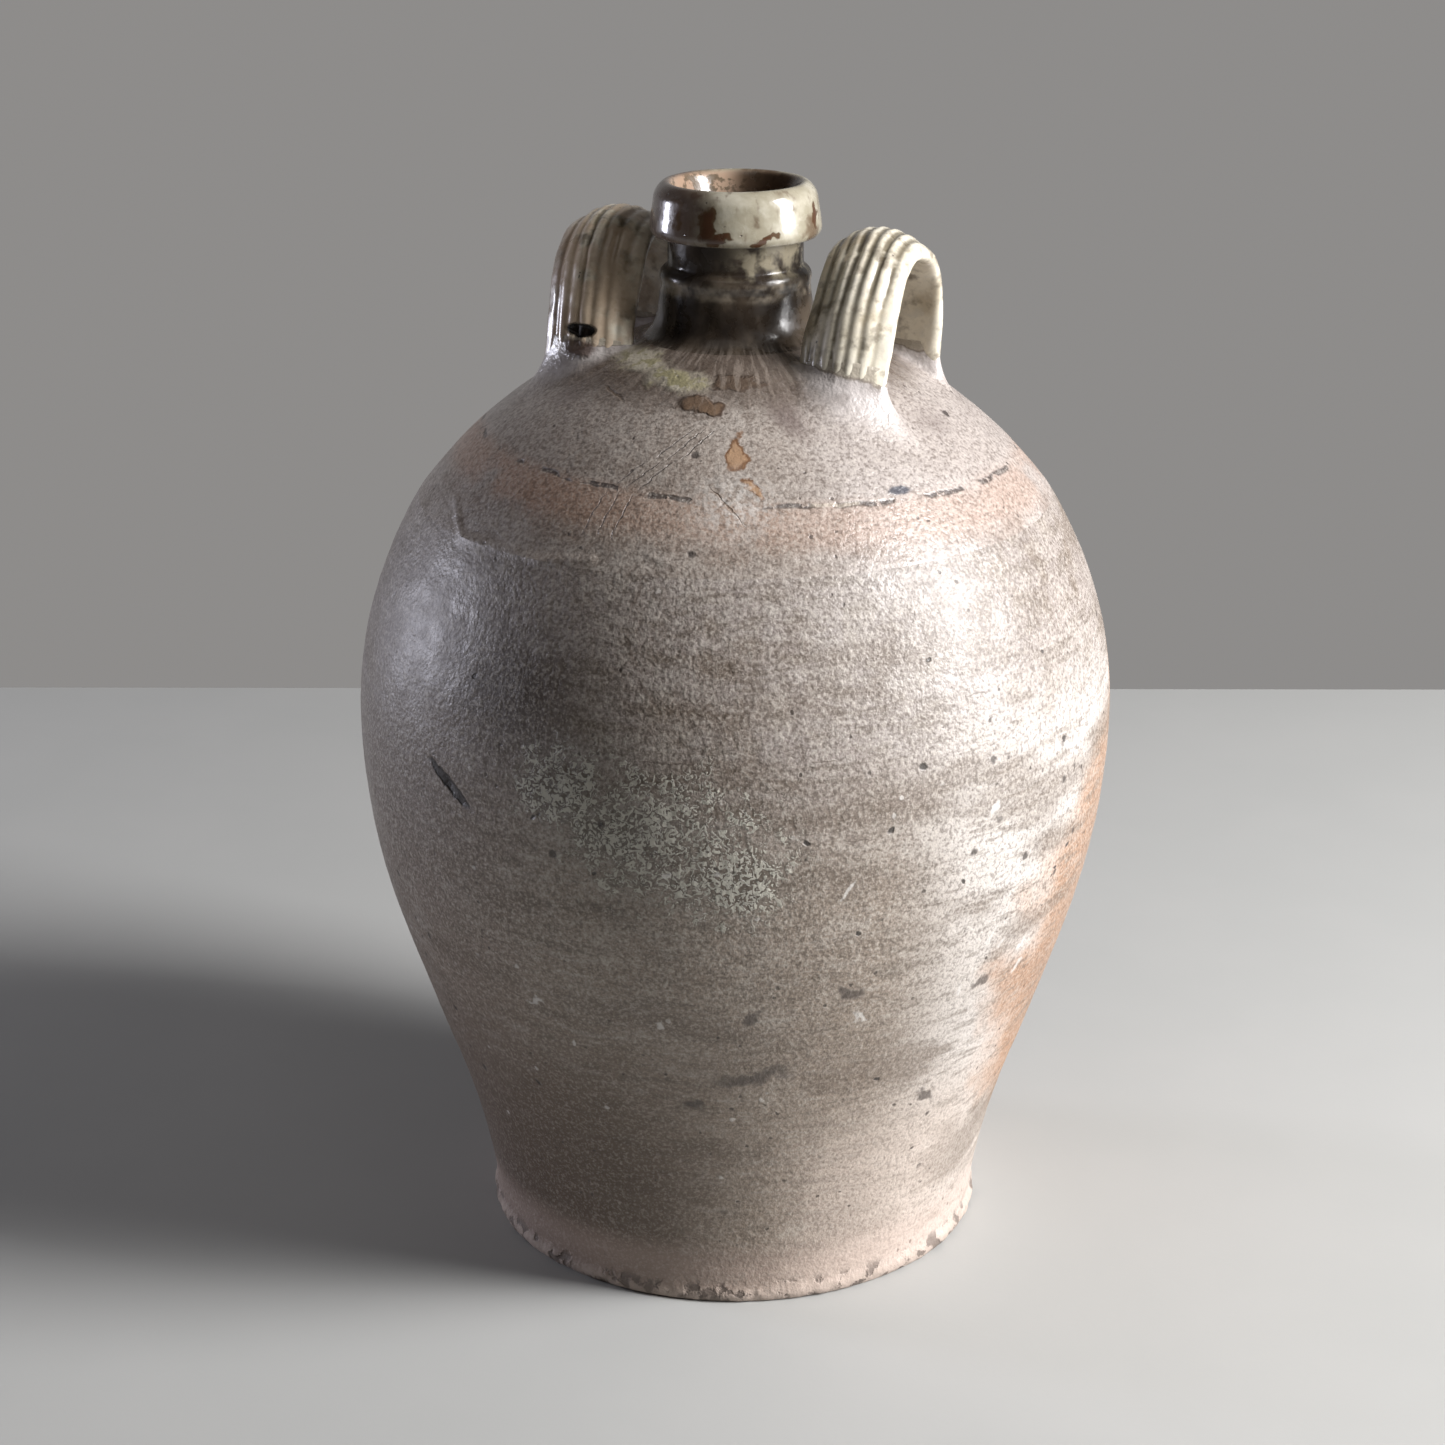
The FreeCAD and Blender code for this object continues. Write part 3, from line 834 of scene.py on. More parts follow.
    def scatter(self, count, seed, azimuths, shares, size, place=None):
        """Mask of small marks strewn at random over a patch of the piece."""
        dice = random.Random(seed)
        return self.most([
            self.spot(dice.uniform(*azimuths), dice.uniform(*shares), size * dice.uniform(0.8, 1.6),
                      size * dice.uniform(0.6, 1.1), dice.uniform(-60, 60), 0.55, place)
            for _ in range(count)])

    def mix(self, share, a, b):
        made = self.node("ShaderNodeMix", data_type="RGBA")
        self.put(share, made.inputs["Factor"])
        self.put(a, made.inputs["A"])
        self.put(b, made.inputs["B"])
        return made.outputs["Result"]

    def radius(self, x):
        """Distance from the upright axis through x = 0, y = 0."""
        return self.math("SQRT", self.math("ADD", self.times(x, x), self.times(self.y, self.y)))

    def off(self, value, level_value):
        """Distance of a value from a level, either way."""
        return self.math("ABSOLUTE", self.math("SUBTRACT", value, level_value))

    def blend(self, share, a, b):
        """a where share is 0, b where it is 1."""
        return self.math("ADD", self.times(a, self.math("SUBTRACT", 1.0, share)), self.times(b, share))

    def paint(self, share, colour, strength=None):
        """Lays a colour over the layers so far, where share is 1."""
        share = share if strength is None else self.times(share, strength)
        self.colour = self.mix(share, self.colour, colour)

    def stain(self, share, edge, core):
        """Paints a mark whose outline is darker than its middle."""
        self.paint(self.ramp(0.1, 0.45, share), edge)
        self.paint(self.times(self.ramp(0.5, 0.95, share), 0.85), core)

    def raise_by(self, amount, share):
        """Adds bump of amount mm where share is 1."""
        self.bump = self.math("ADD", self.bump, self.times(share, amount))

    def polish(self, share, roughness):
        self.shine = self.blend(share, self.shine, roughness)

    def fire(self, coat=0.0, coat_roughness=0.2, specular=0.5):
        """Joins the layers into the surface shader."""
        relief = self.node("ShaderNodeBump")
        relief.inputs["Distance"].default_value = 0.001
        self.put(self.bump, relief.inputs["Height"])
        shader = self.node("ShaderNodeBsdfPrincipled")
        self.put(self.colour, shader.inputs["Base Color"])
        self.put(self.shine, shader.inputs["Roughness"])
        self.put(relief.outputs[0], shader.inputs["Normal"])
        shader.inputs["Specular IOR Level"].default_value = specular
        shader.inputs["Coat Weight"].default_value = coat
        shader.inputs["Coat Roughness"].default_value = coat_roughness
        output = self.node("ShaderNodeOutputMaterial")
        self.tree.links.new(shader.outputs[0], output.inputs["Surface"])
        return self.material


def mottle(glaze, light, dark, size, seed, strength=1.0):
    """Cloudy change between a lighter and a darker tone."""
    cloud = glaze.noise(size, 4, seed)
    glaze.paint(glaze.times(glaze.ramp(0.5, 0.72, cloud), 0.8 * strength), light)
    glaze.paint(glaze.times(glaze.ramp(0.5, 0.3, cloud), 0.8 * strength), dark)


def salt_texture(glaze, depth, grit):
    """Orange-peel skin of salt glaze: fine pebbles, pin specks and pits."""
    pebble = glaze.noise(1.5, 2, 11)
    glaze.raise_by(depth, pebble)
    glaze.raise_by(0.32, glaze.noise(4, 2, 17))
    glaze.raise_by(0.35, glaze.noise(9, 3, 12))
    grain = glaze.noise(0.9, 2, 13)
    glaze.paint(glaze.times(glaze.ramp(0.53, 0.63, pebble), 0.5, grit), (0.58, 0.525, 0.465))
    glaze.paint(glaze.times(glaze.ramp(0.48, 0.38, pebble), 0.7, grit), (0.085, 0.06, 0.042))
    glaze.paint(glaze.times(glaze.ramp(0.55, 0.65, grain), 0.45, grit), (0.64, 0.59, 0.53))
    glaze.paint(glaze.times(glaze.ramp(0.45, 0.35, grain), 0.5, grit), (0.07, 0.05, 0.036))


def specks(glaze, spacing, size, seed, colour, strength=0.8, dent=-0.12):
    """Scattered round iron specks that sit in small pits."""
    dots = glaze.ramp(size / spacing, size / spacing * 0.5, glaze.cells(spacing, seed))
    sparse = glaze.patches(0.52, 0.6, spacing * 2.2, 1, seed + 3)
    share = glaze.times(dots, sparse)
    glaze.paint(glaze.times(share, strength), colour)
    glaze.raise_by(dent, share)


def flash(glaze):
    """Orange blush on the side of the belly that the flame passed."""
    drop = glaze.times(glaze.minus(glaze.share, 0.45), 3.4)
    edge = glaze.plus(46.0, glaze.times(drop, drop, 25.0))
    wavering = glaze.sway(34.0, 34, 3, 21)
    inside = glaze.plus(glaze.minus(glaze.azimuth, edge), wavering)
    share = glaze.times(glaze.ramp(-4, 16, inside), glaze.ramp(150, 110, glaze.azimuth),
                        glaze.ramp(0.95, 0.8, glaze.share), glaze.ramp(0.0, 0.1, glaze.share))
    glaze.paint(share, (0.34, 0.18, 0.095), 0.92)
    rim = glaze.times(share, glaze.ramp(20, 2, inside))
    glaze.paint(rim, (0.5, 0.24, 0.1), 0.55)


def body_glaze():
    """Cool grey upper belly, red-brown lower belly, a bare pale foot and the orange flash, with painted shade
    on the left side and painted light on the right side.
    """
    glaze = Glaze("belly_salt_glaze", (0.33, 0.285, 0.262), "lower_body")
    mottle(glaze, (0.40, 0.36, 0.34), (0.23, 0.19, 0.17), 62, 1, 0.9)
    glaze.paint(glaze.ramp(0.85, 0.6, glaze.share), (0.285, 0.222, 0.16), 0.6)
    mottle(glaze, (0.41, 0.36, 0.31), (0.20, 0.155, 0.115), 17, 2, 0.75)
    mottle(glaze, (0.46, 0.425, 0.385), (0.18, 0.145, 0.115), 5, 3, 0.5)
    # lower left of the belly: brown clay, painted darker as shade away from the key light
    low_left_brown_and_shade = glaze.times(glaze.ramp(0.6, 0.2, glaze.share), glaze.ramp(10, -40, glaze.azimuth))
    glaze.paint(low_left_brown_and_shade, (0.12, 0.07, 0.04), 0.8)
    # painted shade: the left side of the belly painted darker, away from the key light
    glaze.paint(glaze.times(glaze.ramp(-18, -50, glaze.azimuth), glaze.ramp(1.0, 0.95, glaze.share)),
                (0.115, 0.085, 0.073), 0.6)
    # painted shade: dark zones on the left of the belly, between the left light's highlight and the front,
    # and low on the left
    left_painted_shade = glaze.most([glaze.spot(-35, 0.85, 90, 70, 0, 0.9), glaze.spot(-40, 0.15, 90, 130, 0, 0.9)])
    glaze.paint(left_painted_shade, (0.045, 0.03, 0.022), 0.75)
    # painted sheen: the right side of the belly, facing the key light, painted paler
    pale = glaze.times(glaze.ramp(20, 38, glaze.azimuth), glaze.ramp(110, 80, glaze.azimuth))
    glaze.paint(glaze.times(pale, glaze.ramp(0.9, 0.7, glaze.share)), (0.68, 0.64, 0.61), 0.85)
    # painted light: the lower right of the belly painted paler
    glaze.paint(glaze.times(glaze.ramp(0, 22, glaze.azimuth), glaze.ramp(0.4, 0.2, glaze.share)),
                (0.54, 0.45, 0.385), 0.6)
    glaze.paint(glaze.times(glaze.ramp(0.75, 0.4, glaze.share), glaze.ramp(55, 25, glaze.azimuth)),
                (0.29, 0.225, 0.17), 0.45)
    flash(glaze)
    grime = glaze.noise(4.0, 5, 23, roughness=0.7, place=glaze.wrapped(6))
    glaze.paint(glaze.ramp(0.5, 0.38, grime), (0.15, 0.118, 0.09), 0.55)
    glaze.paint(glaze.ramp(0.54, 0.66, grime), (0.44, 0.4, 0.36), 0.35)
    bands = glaze.noise(26, 3, 25, place=glaze.wrapped(3.5))
    glaze.paint(glaze.ramp(0.5, 0.36, bands), (0.15, 0.11, 0.08), 0.6)
    brush = glaze.noise(9, 3, 5, place=glaze.wrapped(3))
    glaze.paint(glaze.times(glaze.ramp(0.56, 0.7, brush), glaze.ramp(0.5, 0.2, glaze.share)),
                (0.42, 0.37, 0.32), 0.28)
    left_shade = glaze.times(glaze.ramp(5, -25, glaze.azimuth), glaze.ramp(0.5, 0.2, glaze.share))
    glaze.paint(left_shade, (0.07, 0.038, 0.018), 0.72)
    # painted light: paler patch low on the right of the belly
    right_painted_light = glaze.times(glaze.ramp(5, 25, glaze.azimuth), glaze.ramp(0.35, 0.2, glaze.share))
    glaze.paint(glaze.times(right_painted_light, glaze.ramp(60, 40, glaze.azimuth)), (0.62, 0.52, 0.455), 0.45)
    coarse = glaze.blend(glaze.ramp(0.3, 0.6, glaze.share), 0.4, 0.68)
    salt_texture(glaze, 0.32, coarse)
    crust(glaze)
    specks(glaze, 6.0, 0.95, 31, (0.05, 0.035, 0.026), 0.85)
    specks(glaze, 14.0, 1.9, 37, (0.035, 0.024, 0.018), 0.85)
    specks(glaze, 11.0, 1.3, 43, (0.66, 0.63, 0.6), 0.6, 0.05)
    belly_marks(glaze)
    chalk = glaze.ramp(9.5, 5.0, glaze.plus(glaze.height, glaze.times(glaze.noise(6, 3, 8), 5.0)))
    glaze.paint(glaze.ramp(30, 14, glaze.height), (0.55, 0.42, 0.36), 0.4)
    glaze.paint(chalk, (0.46, 0.375, 0.32), 0.8)
    # painted shade: the crevices between the foot's chips painted dark
    crevice_shade = glaze.times(glaze.patches(0.5, 0.4, 6.5, 4, 9), glaze.ramp(10, 5, glaze.height))
    glaze.paint(crevice_shade, (0.1, 0.075, 0.06), 0.75)
    glaze.raise_by(-0.5, crevice_shade)
    glaze.shine = glaze.blend(glaze.patches(0.35, 0.65, 13, 3, 14), 0.44, 0.56)
    glaze.polish(glaze.ramp(0.5, 0.25, glaze.share), 0.66)
    glaze.polish(chalk, 0.85)
    return glaze.fire(coat=0.16, coat_roughness=0.42, specular=0.7)


def crust(glaze):
    """Pale wormy crust over darker clay where kiln salt gathered on the front of the belly."""
    area = glaze.most([
        glaze.spot(-25, 0.75, 66, 56, 0, 1.0), glaze.spot(-15, 0.7, 84, 56, -10, 1.0),
        glaze.spot(0, 0.65, 76, 44, 0, 1.0), glaze.times(glaze.spot(-10, 0.7, 170, 110, -20, 1.0), 0.7)])
    patchy = glaze.plus(area, glaze.sway(1.5, 8, 4, 64))
    area = glaze.times(glaze.ramp(0.1, 1.0, patchy), glaze.ramp(0.0, 0.3, area))
    curls = glaze.noise(2.2, 2, 61, twist=1.6)
    worms = glaze.ramp(0.57, 0.62, glaze.plus(curls, glaze.times(area, 0.11)))
    glaze.paint(area, (0.085, 0.067, 0.046), 0.7)
    glaze.paint(glaze.times(glaze.ramp(0.0, 0.5, area), worms), (0.56, 0.54, 0.465), 0.85)
    glaze.raise_by(0.6, glaze.times(area, worms))


def belly_marks(glaze):
    """Scratches, chips and smoke smudges gathered by the belly."""
    scratches = glaze.most([
        glaze.stroke((-15, 0.8), (-5, 0.8), 0.8), glaze.stroke((10, 0.8), (15, 0.8), 0.8),
        glaze.stroke((35, 0.85), (40, 0.85), 0.9), glaze.stroke((15, 0.7), (20, 0.7), 0.9)])
    glaze.paint(scratches, (0.12, 0.09, 0.07), 0.7)
    torn = glaze.torn_place
    chips = glaze.most([
        glaze.scatter(8, 5, (15, 55), (0.45, 0.8), 5, torn),
        glaze.scatter(4, 9, (-35, 15), (0.3, 0.7), 4, torn),
        glaze.stroke((15, 0.62), (17, 0.65), 1.8)])
    glaze.paint(chips, (0.64, 0.61, 0.58), 0.75)
    pits = glaze.most([
        glaze.scatter(9, 3, (-45, 60), (0.3, 0.95), 2.4),
        glaze.scatter(6, 4, (5, 60), (0.55, 0.8), 2.8)])
    glaze.paint(pits, (0.03, 0.022, 0.018), 0.9)
    glaze.raise_by(-0.4, pits)
    smudges = glaze.most([
        glaze.stroke((-5, 0.35), (10, 0.38), 10, 0.7, torn),
        glaze.stroke((-10, 0.32), (-5, 0.32), 6, 0.6, torn),
        glaze.stroke((35, 0.3), (40, 0.28), 6, 0.6, torn), glaze.stroke((40, 0.45), (45, 0.47), 6, 0.6, torn),
        glaze.stroke((0, 0.45), (5, 0.47), 6, 0.6, torn), glaze.stroke((15, 0.5), (20, 0.48), 7, 0.6, torn)])
    glaze.paint(smudges, (0.06, 0.044, 0.036), 0.8)
    scar = glaze.stroke(*SCAR, 5.5, 0.5)
    glaze.paint(glaze.ramp(0.15, 0.6, scar), (0.022, 0.014, 0.011))
    glaze.raise_by(-0.7, scar)
    seam = glaze.most([glaze.stroke(*ends, 2.4, 0.9) for ends in (
        ((-15, 1.0), (-17, 0.95)), ((-17, 0.95), (-15, 0.9)), ((-15, 0.9), (-10, 0.85)))])
    glaze.paint(seam, (0.13, 0.095, 0.075), 0.6)


def shoulder_layers(name):
    """Salt-glazed clay of the shoulder with all its marks, before it is fired."""
    glaze = Glaze(name, (0.335, 0.285, 0.25), "shoulder_dome")
    mottle(glaze, (0.41, 0.365, 0.33), (0.25, 0.20, 0.17), 40, 4, 0.9)
    mottle(glaze, (0.42, 0.37, 0.335), (0.23, 0.185, 0.155), 13, 5, 0.65)
    mottle(glaze, (0.47, 0.43, 0.395), (0.19, 0.15, 0.125), 4.5, 6, 0.45)
    # painted light: the right side of the shoulder, facing the key light, painted paler
    glaze.paint(glaze.ramp(5, 30, glaze.azimuth), (0.5, 0.45, 0.435), 0.45)
    kiln_ring(glaze)
    salt_texture(glaze, 0.26, 0.62)
    specks(glaze, 6.0, 0.9, 33, (0.05, 0.036, 0.03), 0.8)
    specks(glaze, 17.0, 2.3, 35, (0.035, 0.026, 0.024), 0.9, -0.3)
    shoulder_marks(glaze)
    streak = glaze.noise(8, 4, 15, place=glaze.wrapped(1))
    ash = glaze.ramp(0.78, 0.97, glaze.plus(glaze.share, glaze.times(streak, 0.15)))
    glaze.paint(ash, (0.085, 0.062, 0.048), 0.88)
    glaze.paint(glaze.times(ash, glaze.patches(0.48, 0.66, 5, 4, 18, place=glaze.wrapped(1))),
                (0.27, 0.225, 0.19), 0.6)
    creamy = glaze.most([glaze.spot(-50, 0.95, 40, 19, -8, 0.7, glaze.torn_place),
                         glaze.spot(-25, 0.9, 34, 17, -12, 0.7, glaze.torn_place)])
    glaze.paint(creamy, (0.48, 0.44, 0.35), 0.85)
    glaze.paint(glaze.times(creamy, glaze.patches(0.52, 0.6, 5, 3, 19)), (0.26, 0.235, 0.12), 0.8)
    glaze.raise_by(0.5, creamy)
    glaze.shine = glaze.blend(glaze.patches(0.35, 0.65, 11, 3, 16), 0.33, 0.48)
    glaze.polish(ash, 0.25)
    return glaze


def shoulder_glaze():
    return shoulder_layers("shoulder_salt_glaze").fire(coat=0.16, coat_roughness=0.38, specular=0.65)


def kiln_ring(glaze):
    """Broken dark ring, with an orange band below it, left by a pot stacked on the shoulder."""
    shifted = glaze.minus(glaze.x, 5.0)
    reach = glaze.plus(glaze.radius(shifted), glaze.sway(2.2, 9, 2, 81))
    ring = float(np.interp(level("shoulder_dome", 0.36), OUTSIDE[:, 1], OUTSIDE[:, 0]))
    off_line = glaze.off(reach, ring)
    line = glaze.times(glaze.ramp(1.1, 0.35, off_line), glaze.patches(0.3, 0.4, 3, 2, 83))
    kept = glaze.patches(0.52, 0.56, 10, 1, 86, place=glaze.wrapped(1.5))
    pink = glaze.times(glaze.ramp(9.0, 2.5, glaze.off(reach, ring + 5.5)),
                       glaze.patches(0.25, 0.5, 22, 3, 82))
    ruddy = glaze.blend(glaze.ramp(-10, -35, glaze.azimuth), 0.42, 0.62)
    glaze.paint(glaze.times(pink, ruddy), (0.42, 0.25, 0.17))
    below = glaze.ramp(4.0, 1.0, glaze.off(reach, ring + 13.5))
    glaze.paint(glaze.times(below, glaze.patches(0.4, 0.6, 16, 3, 84)), (0.24, 0.17, 0.13), 0.5)
    glaze.paint(glaze.times(line, kept), (0.06, 0.05, 0.05), 0.85)
    core = glaze.times(glaze.ramp(0.8, 0.25, off_line), glaze.window(15, 25, 0.6, glaze.azimuth))
    glaze.paint(core, (0.55, 0.48, 0.4), 0.75)
    glaze.raise_by(-0.25, glaze.times(line, kept))


COMB_STATIONS = ((-26, 0.15), (-24, 0.4), (-17, 0.55), (-8, 0.7))  # a comb stroke: azimuth, share of the dome


def shoulder_marks(glaze):
    """Rust stain, glaze drips, cracks, comb scratches and smoky shade on the shoulder."""
    torn = glaze.torn_place
    rust = glaze.most([glaze.spot(0, 0.6, 9, 20, 8, 0.7, torn), glaze.spot(4, 0.43, 5, 15, 35, 0.7, torn)])
    glaze.stain(rust, (0.17, 0.085, 0.04), (0.42, 0.27, 0.165))
    drips = glaze.most([
        glaze.spot(0, 0.9, 26, 11, -4, 0.6, torn), glaze.spot(-10, 0.8, 25, 12, -14, 0.6, torn)])
    glaze.stain(drips, (0.055, 0.03, 0.018), (0.22, 0.14, 0.085))
    glaze.raise_by(0.5, drips)
    cracks = glaze.most([
        glaze.stroke((50, 0.8), (42, 0.63), 1.0), glaze.stroke((-50, 0.83), (-37, 0.78), 1.8),
        glaze.stroke((-5, 0.45), (2, 0.25), 0.9)])
    glaze.paint(cracks, (0.12, 0.075, 0.045), 0.75)
    glaze.raise_by(-0.2, cracks)
    blot = glaze.spot(35, 0.36, 12, 4.5, 0, 0.5)
    glaze.paint(blot, (0.035, 0.04, 0.06), 0.9)
    comb = glaze.most([glaze.stroke((a[0] + tooth, a[1]), (b[0] + tooth, b[1]), 0.7)
                       for tooth in (-3, 0, 3) for a, b in zip(COMB_STATIONS[:-1], COMB_STATIONS[1:])])
    glaze.paint(comb, (0.13, 0.11, 0.1), 0.75)
    glaze.raise_by(-0.2, comb)
    # pale patch at the front of the shoulder: scraped glaze, partly a painted highlight
    scraped_and_highlight = glaze.spot(0, 0.35, 50, 40, 0, 0.9)
    glaze.paint(glaze.times(scraped_and_highlight, glaze.patches(0.4, 0.6, 2.2, 3, 24)), (0.62, 0.59, 0.56), 0.6)
    shade = glaze.most([
        glaze.spot(15, 0.75, 17, 36, 20, 0.9), glaze.times(glaze.spot(60, 0.6, 30, 22, 0, 0.9), 0.5),
        glaze.times(glaze.spot(-60, 0.75, 26, 22, 0, 0.9), 0.7)])
    glaze.paint(shade, (0.125, 0.09, 0.082), 0.7)


def neck_glaze():
    """Glossy black-brown neck whose ridge is painted paler as a highlight, with painted light on the right of
    its upper part.
    """
    glaze = Glaze("neck_smoked_glaze", (0.034, 0.025, 0.018), "neck")
    smoke = glaze.noise(13, 4, 91, stretch=(1, 1, 1.6))
    glaze.paint(glaze.ramp(0.48, 0.74, smoke), (0.12, 0.093, 0.068), 0.7)
    glaze.paint(glaze.ramp(0.5, 0.3, smoke), (0.018, 0.014, 0.012), 0.8)
    # painted highlight: the ridge painted paler
    ridge = glaze.window(0.45, 0.6, 0.04, glaze.plus(glaze.share, glaze.sway(0.08, 8, 2, 92)))
    glaze.paint(glaze.times(ridge, glaze.patches(0.35, 0.6, 10, 3, 93)), (0.42, 0.36, 0.28), 0.7)
    lit = glaze.times(glaze.ramp(0.6, 0.7, glaze.share), glaze.ramp(-8, 8, glaze.x))
    glaze.paint(glaze.times(lit, glaze.patches(0.4, 0.55, 9, 3, 98)), (0.3, 0.265, 0.19), 0.8)
    foot = glaze.ramp(0.2, 0.0, glaze.plus(glaze.share, glaze.times(glaze.noise(8, 3, 94), 0.16)))
    glaze.paint(glaze.times(foot, glaze.patches(0.42, 0.62, 5, 4, 18, place=glaze.wrapped(1))),
                (0.25, 0.21, 0.175), 0.6)
    glaze.raise_by(0.08, glaze.noise(2.4, 3, 95))
    glaze.raise_by(0.2, glaze.noise(9, 2, 96))
    glaze.shine = glaze.blend(glaze.patches(0.35, 0.65, 6, 3, 97), 0.2, 0.42)
    return glaze.fire(coat=0.2, coat_roughness=0.12, specular=0.4)


def rim_glaze():
    """Glossy cream collar, burnt brown in patches and on its left side."""
    glaze = Glaze("rim_ash_glaze", (0.33, 0.30, 0.225), "rim_collar")
    cloud = glaze.noise(15, 4, 101)
    glaze.paint(glaze.ramp(0.48, 0.64, cloud), (0.5, 0.47, 0.385), 0.8)
    glaze.paint(glaze.ramp(0.48, 0.36, cloud), (0.115, 0.075, 0.045), 0.85)
    left = glaze.ramp(2, -12, glaze.plus(glaze.x, glaze.times(glaze.noise(12, 3, 102), 12.0)))
    glaze.paint(left, (0.085, 0.052, 0.045), 0.82)
    streak = glaze.noise(5, 3, 103, stretch=(0.7, 0.7, 2.4))
    glaze.paint(glaze.ramp(0.58, 0.72, streak), (0.12, 0.08, 0.055), 0.6)
    burnt = glaze.most([glaze.spot(azimuth, share, width, tall, 0, 0.7, glaze.torn_place)
                        for azimuth, share, width, tall in (
                            (-20, 0.4, 11, 15), (-10, 0.2, 12, 7), (70, 0.45, 7, 14), (20, 0.15, 12, 5),
                            (-50, 0.6, 16, 12), (130, 0.4, 14, 12), (-150, 0.5, 20, 12))])
    glaze.stain(burnt, (0.10, 0.062, 0.035), (0.085, 0.038, 0.02))
    collar = BOX["rim_collar"][1][0] / MM
    inside = glaze.ramp(0.79 * collar, 0.73 * collar, glaze.radius(glaze.x))
    glaze.paint(inside, (0.4, 0.275, 0.195), 0.85)
    glaze.paint(glaze.times(inside, glaze.patches(0.5, 0.58, 4, 3, 107)), (0.09, 0.07, 0.045), 0.8)
    # painted shade: the right half of the mouth's inside painted dark
    glaze.paint(glaze.times(inside, glaze.ramp(-5, 5, glaze.x)), (0.055, 0.035, 0.022), 0.93)
    glaze.raise_by(0.06, glaze.noise(1.8, 2, 104))
    glaze.raise_by(0.22, glaze.noise(9, 3, 105))
    specks(glaze, 4.0, 0.55, 49, (0.05, 0.035, 0.03), 0.7)
    glaze.shine = glaze.blend(glaze.patches(0.35, 0.65, 6, 3, 106), 0.14, 0.3)
    return glaze.fire(coat=0.5, coat_roughness=0.1)


def handle_glaze():
    """Cream ash glaze that pools darker between the ribs, browner on the left handle."""
    glaze = Glaze("handle_ash_glaze", (0.76, 0.70, 0.57))
    mottle(glaze, (0.84, 0.80, 0.68), (0.48, 0.40, 0.28), 14, 7, 0.9)
    mottle(glaze, (0.62, 0.58, 0.5), (0.20, 0.155, 0.105), 5, 8, 0.75)
    groove = glaze.node("ShaderNodeAttribute", attribute_name="groove").outputs["Fac"]
    pooled = glaze.times(glaze.ramp(0.1, 0.75, groove), glaze.patches(0.3, 0.46, 9, 3, 114))
    glaze.paint(pooled, (0.105, 0.082, 0.045), 0.85)
    smoke = glaze.patches(0.54, 0.66, 13, 4, 115)
    glaze.paint(smoke, (0.105, 0.08, 0.05), 0.65)
    outer, inner = (side[0] / MM for side in BOX["handle_left"])
    brown = glaze.times(glaze.ramp(inner, (inner + outer) / 2, glaze.x),
                        glaze.patches(0.36, 0.56, 10, 3, 116))
    glaze.paint(brown, (0.56, 0.43, 0.31), 0.8)
    glaze.paint(glaze.ramp(outer + 11, outer + 5, glaze.x), (0.2, 0.12, 0.09), 0.5)
    foot_marks(glaze)
    glaze.raise_by(0.07, glaze.noise(1.8, 2, 111))
    glaze.raise_by(0.2, glaze.noise(7, 3, 112))
    specks(glaze, 5.0, 0.6, 51, (0.05, 0.035, 0.03), 0.7)
    glaze.shine = glaze.blend(glaze.patches(0.35, 0.65, 6, 3, 113), 0.2, 0.38)
    return glaze.fire(coat=0.35, coat_roughness=0.15)


def strap_mark(glaze, side, rise, across, length, width):
    """Mask of an oval mark on the outer face of a strap's front leg, rise mm above its foot."""
    strap = STRAPS[side]
    leg = len(strap["line"]) // 2
    row = leg + int(np.argmin(np.abs(strap["line"][leg:, 1] - strap["front_foot"] - rise)))
    face = strap["line"][row] + strap["out"][row] * strap["thickness"] / 2
    centre = to_world(strap, np.array([face[0], across, face[1]]))
    level_way = to_world(strap, np.array([face[0], across + 1.0, face[1]])) - centre
    return glaze.oval(centre, level_way, np.array([0, 0, 1.0]), length, width)


def foot_marks(glaze):
    """Hollow painted near black as its shade, and a brown lump, where the glaze broke at the left handle's
    front foot.
    """
    lump = strap_mark(glaze, "left", 5.0, 1.5, 19, 8)
    glaze.paint(lump, (0.1, 0.062, 0.05), 0.85)
    glaze.raise_by(0.8, lump)
    # painted shade: the hollow painted near black
    hollow = strap_mark(glaze, "left", 11.0, 1.0, 14, 5.5)
    glaze.paint(glaze.ramp(0.1, 0.5, hollow), (0.008, 0.006, 0.005))
    glaze.raise_by(-2.5, hollow)


def pad_clay():
    """The shoulder's clay, bare and pale where it was pressed out, glazed next to the strap."""
    glaze = shoulder_layers("pad_clay_glaze")
    spread = glaze.node("ShaderNodeAttribute", attribute_name="spread").outputs["Fac"]
    bare = glaze.ramp(0.95, 0.5, glaze.plus(spread, glaze.times(glaze.noise(7, 3, 124), 0.3)))
    glaze.paint(bare, (0.62, 0.575, 0.56), 0.8)
    glaze.paint(glaze.times(bare, glaze.patches(0.5, 0.66, 8, 3, 125)), (0.23, 0.195, 0.18), 0.5)
    glazed = glaze.ramp(0.36, 0.28, glaze.plus(spread, glaze.times(glaze.noise(6, 3, 126), 0.2)))
    glaze.paint(glazed, (0.42, 0.375, 0.3), 0.9)
    dark_edge = glaze.times(glazed, glaze.minus(1.0, glazed), 3.0)
    glaze.paint(dark_edge, (0.1, 0.07, 0.045), 0.7)
    foot_marks(glaze)
    glaze.polish(glazed, 0.25)
    return glaze.fire(coat=0.3, coat_roughness=0.3, specular=0.6)


# ---------------------------------------------------------------- putting it together

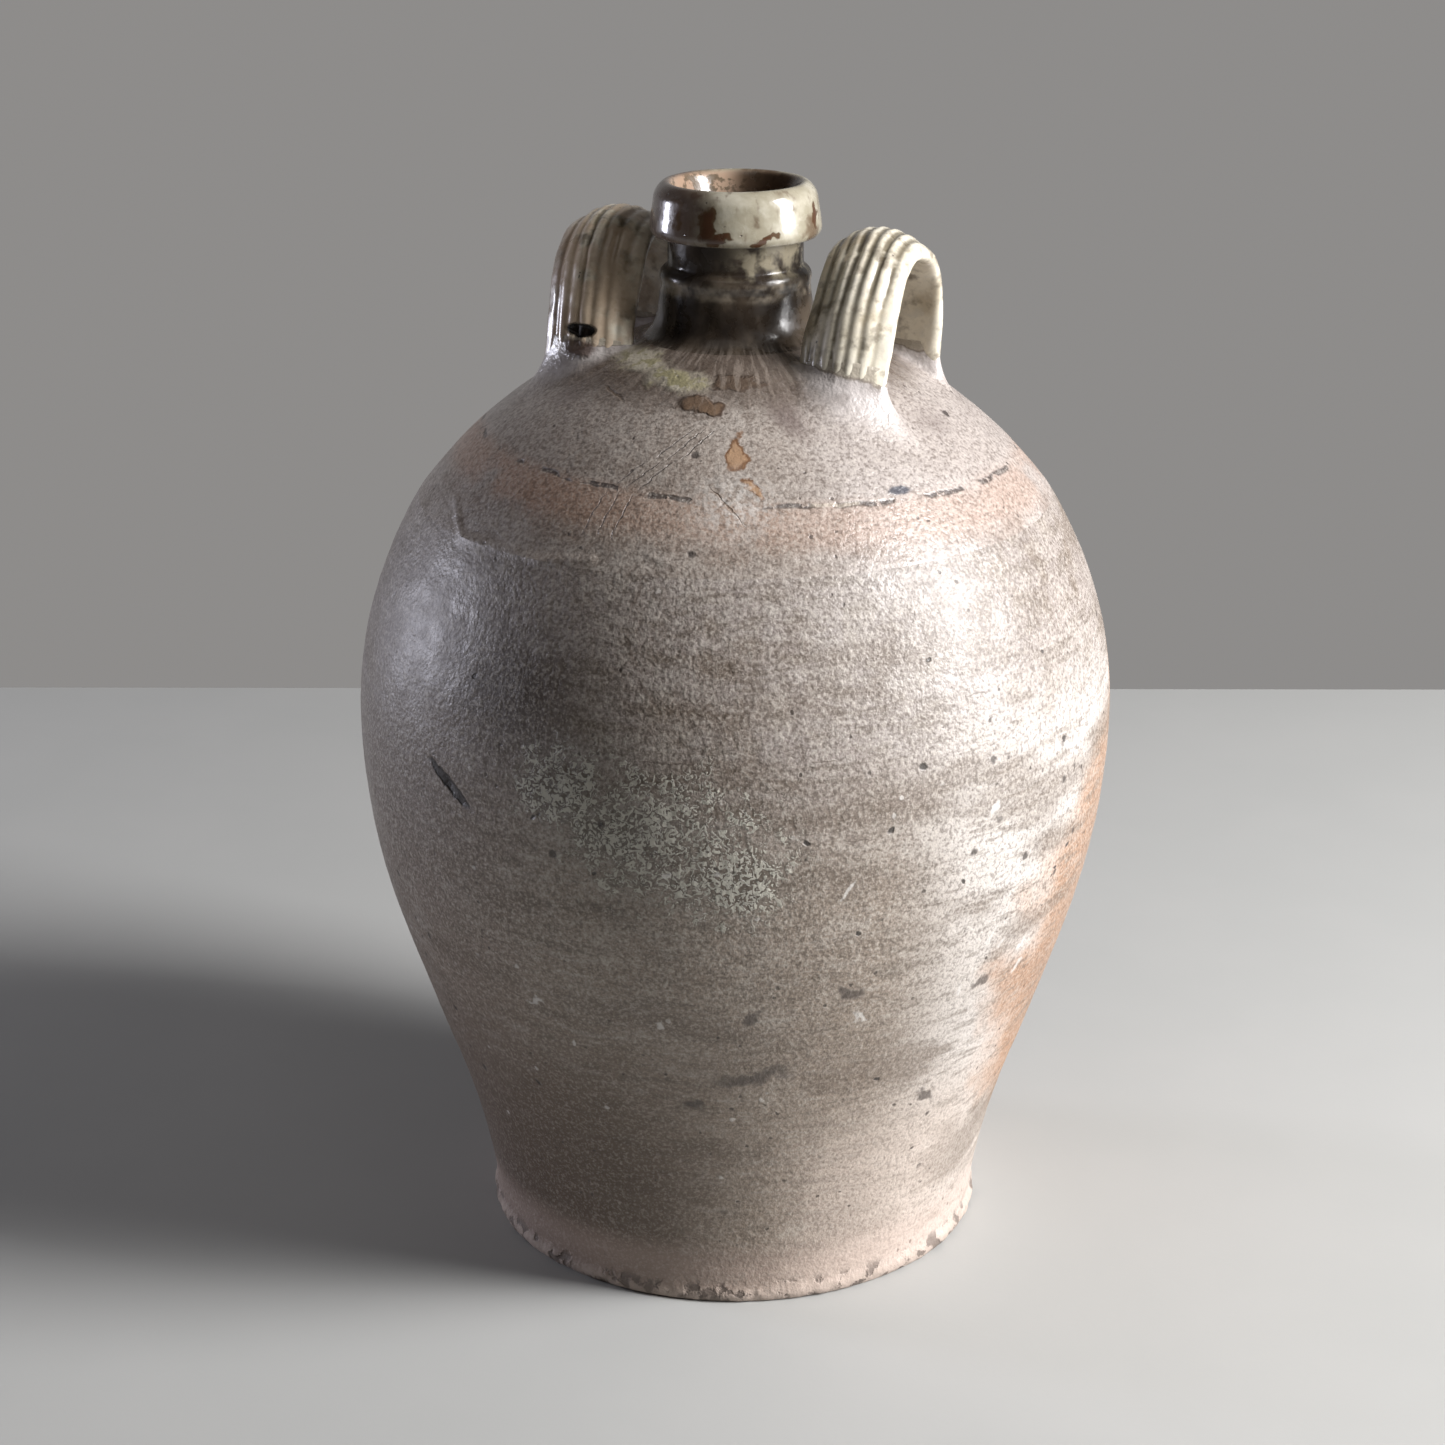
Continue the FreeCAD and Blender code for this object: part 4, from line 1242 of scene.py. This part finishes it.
def stand_in(piece, node, material):
    """Gives a piece its glaze and hands it over as the visible form of a CAD node."""
    piece.data.materials.append(material)
    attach(piece, "root")
    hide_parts(node)


def make_floor():
    """Plain pale floor under the pot."""
    bpy.ops.mesh.primitive_plane_add(size=FLOOR_SIZE, location=(0, FLOOR_BACK - FLOOR_SIZE / 2, cad_floor))
    floor = bpy.context.object
    floor.name = "floor"
    surface = Glaze("floor_paper", (0.45, 0.455, 0.445))
    surface.paint(surface.patches(0.3, 0.7, 90, 3, 131), (0.49, 0.49, 0.48), 0.3)
    surface.raise_by(0.03, surface.noise(2.5, 2, 132))
    surface.shine = surface.blend(surface.noise(30, 2, 133), 0.6, 0.75)
    floor.data.materials.append(surface.fire(specular=0.25))


def main():
    make_camera()
    make_lights()
    make_floor()
    columns = ((720, 400))
    spacing = 1.2
    belly, shoulder, handle, pad = body_glaze(), shoulder_glaze(), handle_glaze(), pad_clay()
    thrown = (
        ("lower_body", columns[0], spacing, 4.0, "belly_glaze", belly),
        ("shoulder_dome", columns[0], spacing, 4.0, "shoulder_glaze", shoulder),
        ("neck", columns[1], 0.8, 1.6, "neck_glaze", neck_glaze()),
        ("rim_collar", columns[1], 0.8, 1.6, "rim_glaze", rim_glaze()),
    )
    for node, count, outer, inner, slot, material in thrown:
        stand_in(turned_piece(node, count, outer, inner), node, material)
    for side in STRAPS:
        stand_in(build_strap(side), f"handle_{side}", handle)
        for end in ("front", "back"):
            stand_in(build_pad(side, end), f"handle_{side}_{end}_pad", pad)


MOUTH_RADIUS, LIP_HEIGHT = 24.0, 399.0  # the outside ends short of the mouth and the top of the lip

# the outside from foot to lip, sorted by height, which gives the radius at each height
OUTLINE = pot_outline()
OUTSIDE = np.concatenate([line for _, line, _ in OUTLINE[:4]])
OUTSIDE = OUTSIDE[(OUTSIDE[:, 0] > MOUTH_RADIUS) & (OUTSIDE[:, 1] < LIP_HEIGHT)]
OUTSIDE = OUTSIDE[np.argsort(OUTSIDE[:, 1], kind="stable")]
STRAPS = {side: measured_strap(side) for side in ("left", "right")}
cad_floor = cad_box[0][2]
main()
